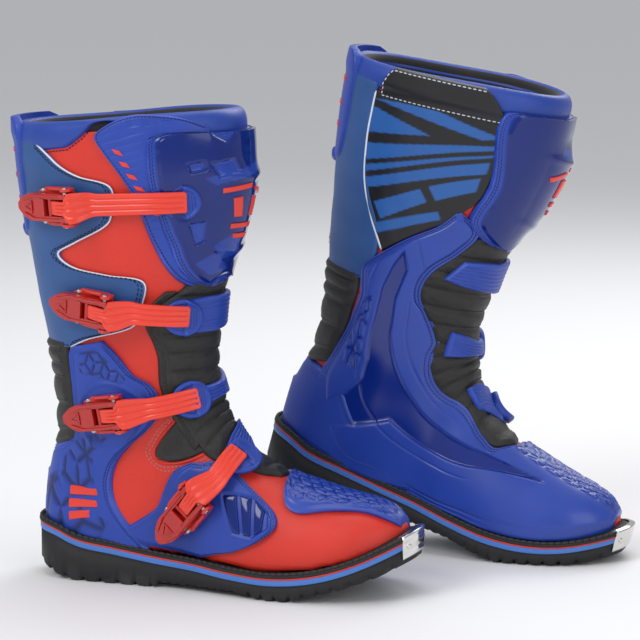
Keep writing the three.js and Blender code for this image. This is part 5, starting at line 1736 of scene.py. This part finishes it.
# %% Straps along their lines
def strap_part(item):
    """Sections carried along the strap's middle line, from the lock bar to the catch."""
    a, b, n = item["axes"]
    pin_z = item["pin"]
    near = [(0.2, pin_z), (-6, pin_z + 2.2), (PIN_AT, pin_z + 3.7), (-19.5, pin_z + 3.3)]
    line = [item["point"] + a * x + n * z for x, z in near]
    normal = [n] * 4
    share = np.linspace(0, 1, 60)
    s = item["base"][0] + (item["end"][0] - item["base"][0]) * share
    angle = item["base"][1] + (item["end"][1] - item["base"][1]) * share
    ground = surface(s, angle)
    run = lengths(ground, 0)
    rest = item["rest"] + 1.5
    for at in (28, 36, 46) + tuple(np.linspace(57, run[-1], 4 if run[-1] > 70 else 2)):
        if at > run[-1] + 0.1:
            continue
        s1, a1 = np.interp(at, run, s), np.interp(at, run, angle)
        lifted = rest - 2.6 * smoothstep(np.abs(run[-1] - at), 18, 40) * (item["rest"] < 8)
        lifted += {28: 2.2, 36: 0.6}.get(at, 0.0)
        if item["rest"] > 8 and run[-1] - at > 34:
            lifted -= 1.8
        line.append(surface(s1, a1, lifted))
        normal.append(normals_at(np.array(s1), np.array(a1)))
    line, normal = np.array(line), np.array(normal)
    index = range(len(line))
    fine = np.linspace(0, len(line) - 1, 300)
    dense = np.stack([smooth_curve(*zip(index, line[:, k]))(fine) for k in range(3)], -1)
    dense_n = np.stack([np.interp(fine, index, normal[:, k]) for k in range(3)], -1)
    run = lengths(dense, 0)
    total = run[-1]
    at = np.concatenate([[0, 0.25, 0.7], np.linspace(1.4, total - 1.2, 70),
                         [total - 0.5, total - 0.15, total]])
    p = np.stack([np.interp(at, run, dense[:, k]) for k in range(3)], -1)
    up = np.stack([np.interp(at, run, dense_n[:, k]) for k in range(3)], -1)
    tangent = np.gradient(p, axis=0)
    tangent /= np.linalg.norm(tangent, axis=1, keepdims=True)
    across = np.cross(up, tangent)
    across /= np.linalg.norm(across, axis=1, keepdims=True)
    up = np.cross(tangent, across)
    half = np.interp(at, [0, 15.5, 18.5, 24, 42, total], [5.4, 5.4, 11.8, 11.8, 8.6, 8.2])
    end = np.minimum(at, total - at)
    trim = 1 - 0.16 * (1 - smoothstep(end, 0, 1.2))
    v = np.concatenate([[-1, -0.985, -0.94], np.linspace(-0.88, 0.88, 33), [0.94, 0.985, 1]])
    top = np.array([0.2, 0.75, 1.0] + [1.0] * 33 + [1.0, 0.75, 0.2])
    grooves = sum(np.exp(-((v - g) / 0.075) ** 2) for g in (-0.5, 0.0, 0.5))
    fade = smoothstep(at, 4, 10) * smoothstep(total - at, 1.0, 2.5)
    high = 1.5 * top[None] - 0.85 * grooves[None] * fade[:, None]
    shoulder = 0.7 * np.exp(-((at - 22) / 6) ** 2)
    high = high + shoulder[:, None] * np.abs(v)[None] * (top[None] > 0.9)
    under_v = np.array([1, 0.9, 0, -0.9, -1.0])
    under = np.array([-0.9, -1.5, -1.5, -1.5, -0.9])
    y = np.concatenate([v, under_v])[None] * (half * trim)[:, None]
    z = np.concatenate([high, np.repeat(under[None], len(at), 0)], 1) * trim[:, None]
    loops = p[:, None] + across[:, None] * y[..., None] + up[:, None] * z[..., None]
    return closed_loops(loops)


for number, item in enumerate(buckles, 1):
    on_both(f"buckle_{number}_strap", [strap_part(item)], strap_red, None,
            [f"buckle_strap_{number}"], part=f"strap_{number}")

# %% [markdown]
# ## Catches
# A catch is a round pad of the same blue rubber. Half of it lies flat under the strap's end;
# the other half stands up in front of the strap, with ribs across the strap's direction.

# %% Catches at the strap ends
def catch_part(item, size=15.5):
    """A disc in polar steps, laid on the skin: a rim, a low half and a raised ribbed half."""
    end = surface(*item["end"])
    a, b, n = axes_at(end, item["point"])
    radius = np.concatenate([[0.01], np.linspace(0.6, size - 1.0, 28),
                             [size - 0.5, size - 0.12, size]])
    turn = np.arange(0, 360, 5) * np.pi / 180
    r, t = np.meshgrid(radius, turn, indexing="ij")
    x, y = r * np.cos(t) * 1.04, r * np.sin(t) * 0.94
    low_top = item["rest"] - 1.0
    front = smoothstep(x, 0.9, 1.7)
    rib = 1.0 * np.exp(-(np.abs(((x / 2.2) % 1) - 0.5) / 0.17) ** 2)
    inner = 1 - smoothstep(r, size - 4.4, size - 3.4)
    rim = np.exp(-((r - (size - 1.9)) / 1.3) ** 2)
    high = low_top + front * (2.6 - rib * inner * 1.0) + 1.4 * rim * front \
        - 0.9 * (1 - front) * (1 - smoothstep(r, size - 5, size - 3))
    edge = np.clip((size - r) / 1.2, 0, 1)
    high = high - 1.6 * (1 - np.sqrt(np.maximum(1 - (1 - edge) ** 2, 0)))
    flat = end + a * x[..., None] + b * y[..., None]
    low, up = np.full(x.shape, -40.0), np.full(x.shape, 30.0)
    for _ in range(24):
        middle = (low + up) / 2
        q = flat + n * middle[..., None]
        inside = skin_distance(q[..., 0], q[..., 1], q[..., 2]) < 0
        low, up = np.where(inside, middle, low), np.where(inside, up, middle)
    sag = up
    top = flat + n * (sag + high)[..., None]
    foot = flat + n * (sag + low_top - 3.2)[..., None]
    return closed_loops(np.concatenate([top, foot[::-1]]))


for number, item in enumerate(buckles, 1):
    on_both(f"catch_{number}", [catch_part(item, 14.5 if number == 1 else 15.5)], blue_rubber,
            None, None)

# %% [markdown]
# ## Pull tab at the calf
# A blue moulded tab is stitched down the back of the shaft, with a rounded end below and red
# bars of our own on it. It covers the seam where the two halves of the calf leather meet.

# %% Pull tab
tab_out = [(441, 160), (436, 154), (424, 152), (400, 152), (376, 153), (356, 157), (350, 163)]
tab_in = [(441, 200), (436, 206), (424, 208), (400, 208), (376, 207), (356, 203), (350, 197)]


def tab_lift(s, a, edge, across):
    """Channel round the tab, and a lift over the collar at its top."""
    return groove(edge - 2.4, 0.5) + 2.0 * smoothstep(s + collar_drop(s, a), 424, 440)


tab = Panel(tab_out, tab_in, 2.4, 1.0, pitch=1.6, relief=tab_lift, foot=-1.5)
tip_pad = Panel([(357, 170), (351, 168), (345, 172)], [(357, 190), (351, 192), (345, 188)],
                4.6, 1.4, pitch=1.4, foot=-1.0, round_edge=4)
on_both("pull_tab", [tab.part, tip_pad.part], blue_rubber, None, None)
on_both("tab_stitches", panel_seam(tab, [("a", 2.4), ("b", 2.4)], 2.9, 2.0, 0.42), navy_thread)
tab_bars = []
for low_s, tall in ((404, 13), (386, 11), (370, 9)):
    tab_bars.append(bar([(low_s + tall, 163), (low_s + tall, 197), (low_s + tall - 4, 197),
                         (low_s + tall - 4, 163)], 1.3, 2.9, 1.2, 0.6).part)
    tab_bars.append(bar([(low_s + tall - 5, 174), (low_s + tall - 5, 186), (low_s, 186),
                         (low_s, 174)], 1.3, 2.9, 1.2, 0.6).part)
on_both("tab_badge", tab_bars, badge_red)

# %% [markdown]
# ## Floor and light
# A plain pale floor and broad soft lamps, as in a small studio: one big lamp high on the left in
# front, a weaker one on the right, and a strip behind that lines the edges.

# %% Floor, lamps and sky
floor_mesh = bpy.data.meshes.new("floor")
NEAR, FAR = 9, 14
floor_corners = [(-NEAR, -NEAR, 0), (NEAR, -NEAR, 0), (NEAR, FAR, 0), (-NEAR, FAR, 0)]
floor_mesh.from_pydata(floor_corners, [], [(0, 1, 2, 3)])
floor = bpy.data.objects.new("floor", floor_mesh)
bpy.context.scene.collection.objects.link(floor)
pale = bpy.data.materials.new("pale_floor")
pale.use_nodes = True
pale.node_tree.nodes["Principled BSDF"].inputs["Base Color"].default_value = (0.9, 0.9, 0.91, 1)
pale.node_tree.nodes["Principled BSDF"].inputs["Roughness"].default_value = 0.7
pale.node_tree.nodes["Principled BSDF"].inputs["Specular IOR Level"].default_value = 0.2
floor_mesh.materials.append(pale)


def lamp(name, place_at, aim, size, power):
    """A square soft lamp that faces a point."""
    light = bpy.data.lights.new(name, "AREA")
    light.shape, light.size, light.energy = "SQUARE", size, power
    holder = bpy.data.objects.new(name, light)
    bpy.context.scene.collection.objects.link(holder)
    holder.location = place_at
    toward = Vector(aim) - Vector(place_at)
    holder.rotation_euler = toward.to_track_quat("-Z", "Y").to_euler()


lamp("key", (-0.9, -1.9, 1.7), (0, 0, 0.2), 1.1, 24)
lamp("fill", (2.0, -1.6, 1.0), (0, 0, 0.2), 1.4, 11)
lamp("rim", (0.4, 1.6, 1.6), (0, 0, 0.25), 1.2, 16)
lamp("top", (0.0, 0.1, 2.4), (0, 0, 0.2), 1.6, 14)
world = bpy.data.worlds.new("studio")
bpy.context.scene.world = world
world.use_nodes = True
world.node_tree.nodes["Background"].inputs["Color"].default_value = (0.96, 0.97, 1.0, 1)
world.node_tree.nodes["Background"].inputs["Strength"].default_value = 0.5
bpy.context.scene.view_settings.view_transform = "Standard"
print("lamps", len(bpy.data.lights))
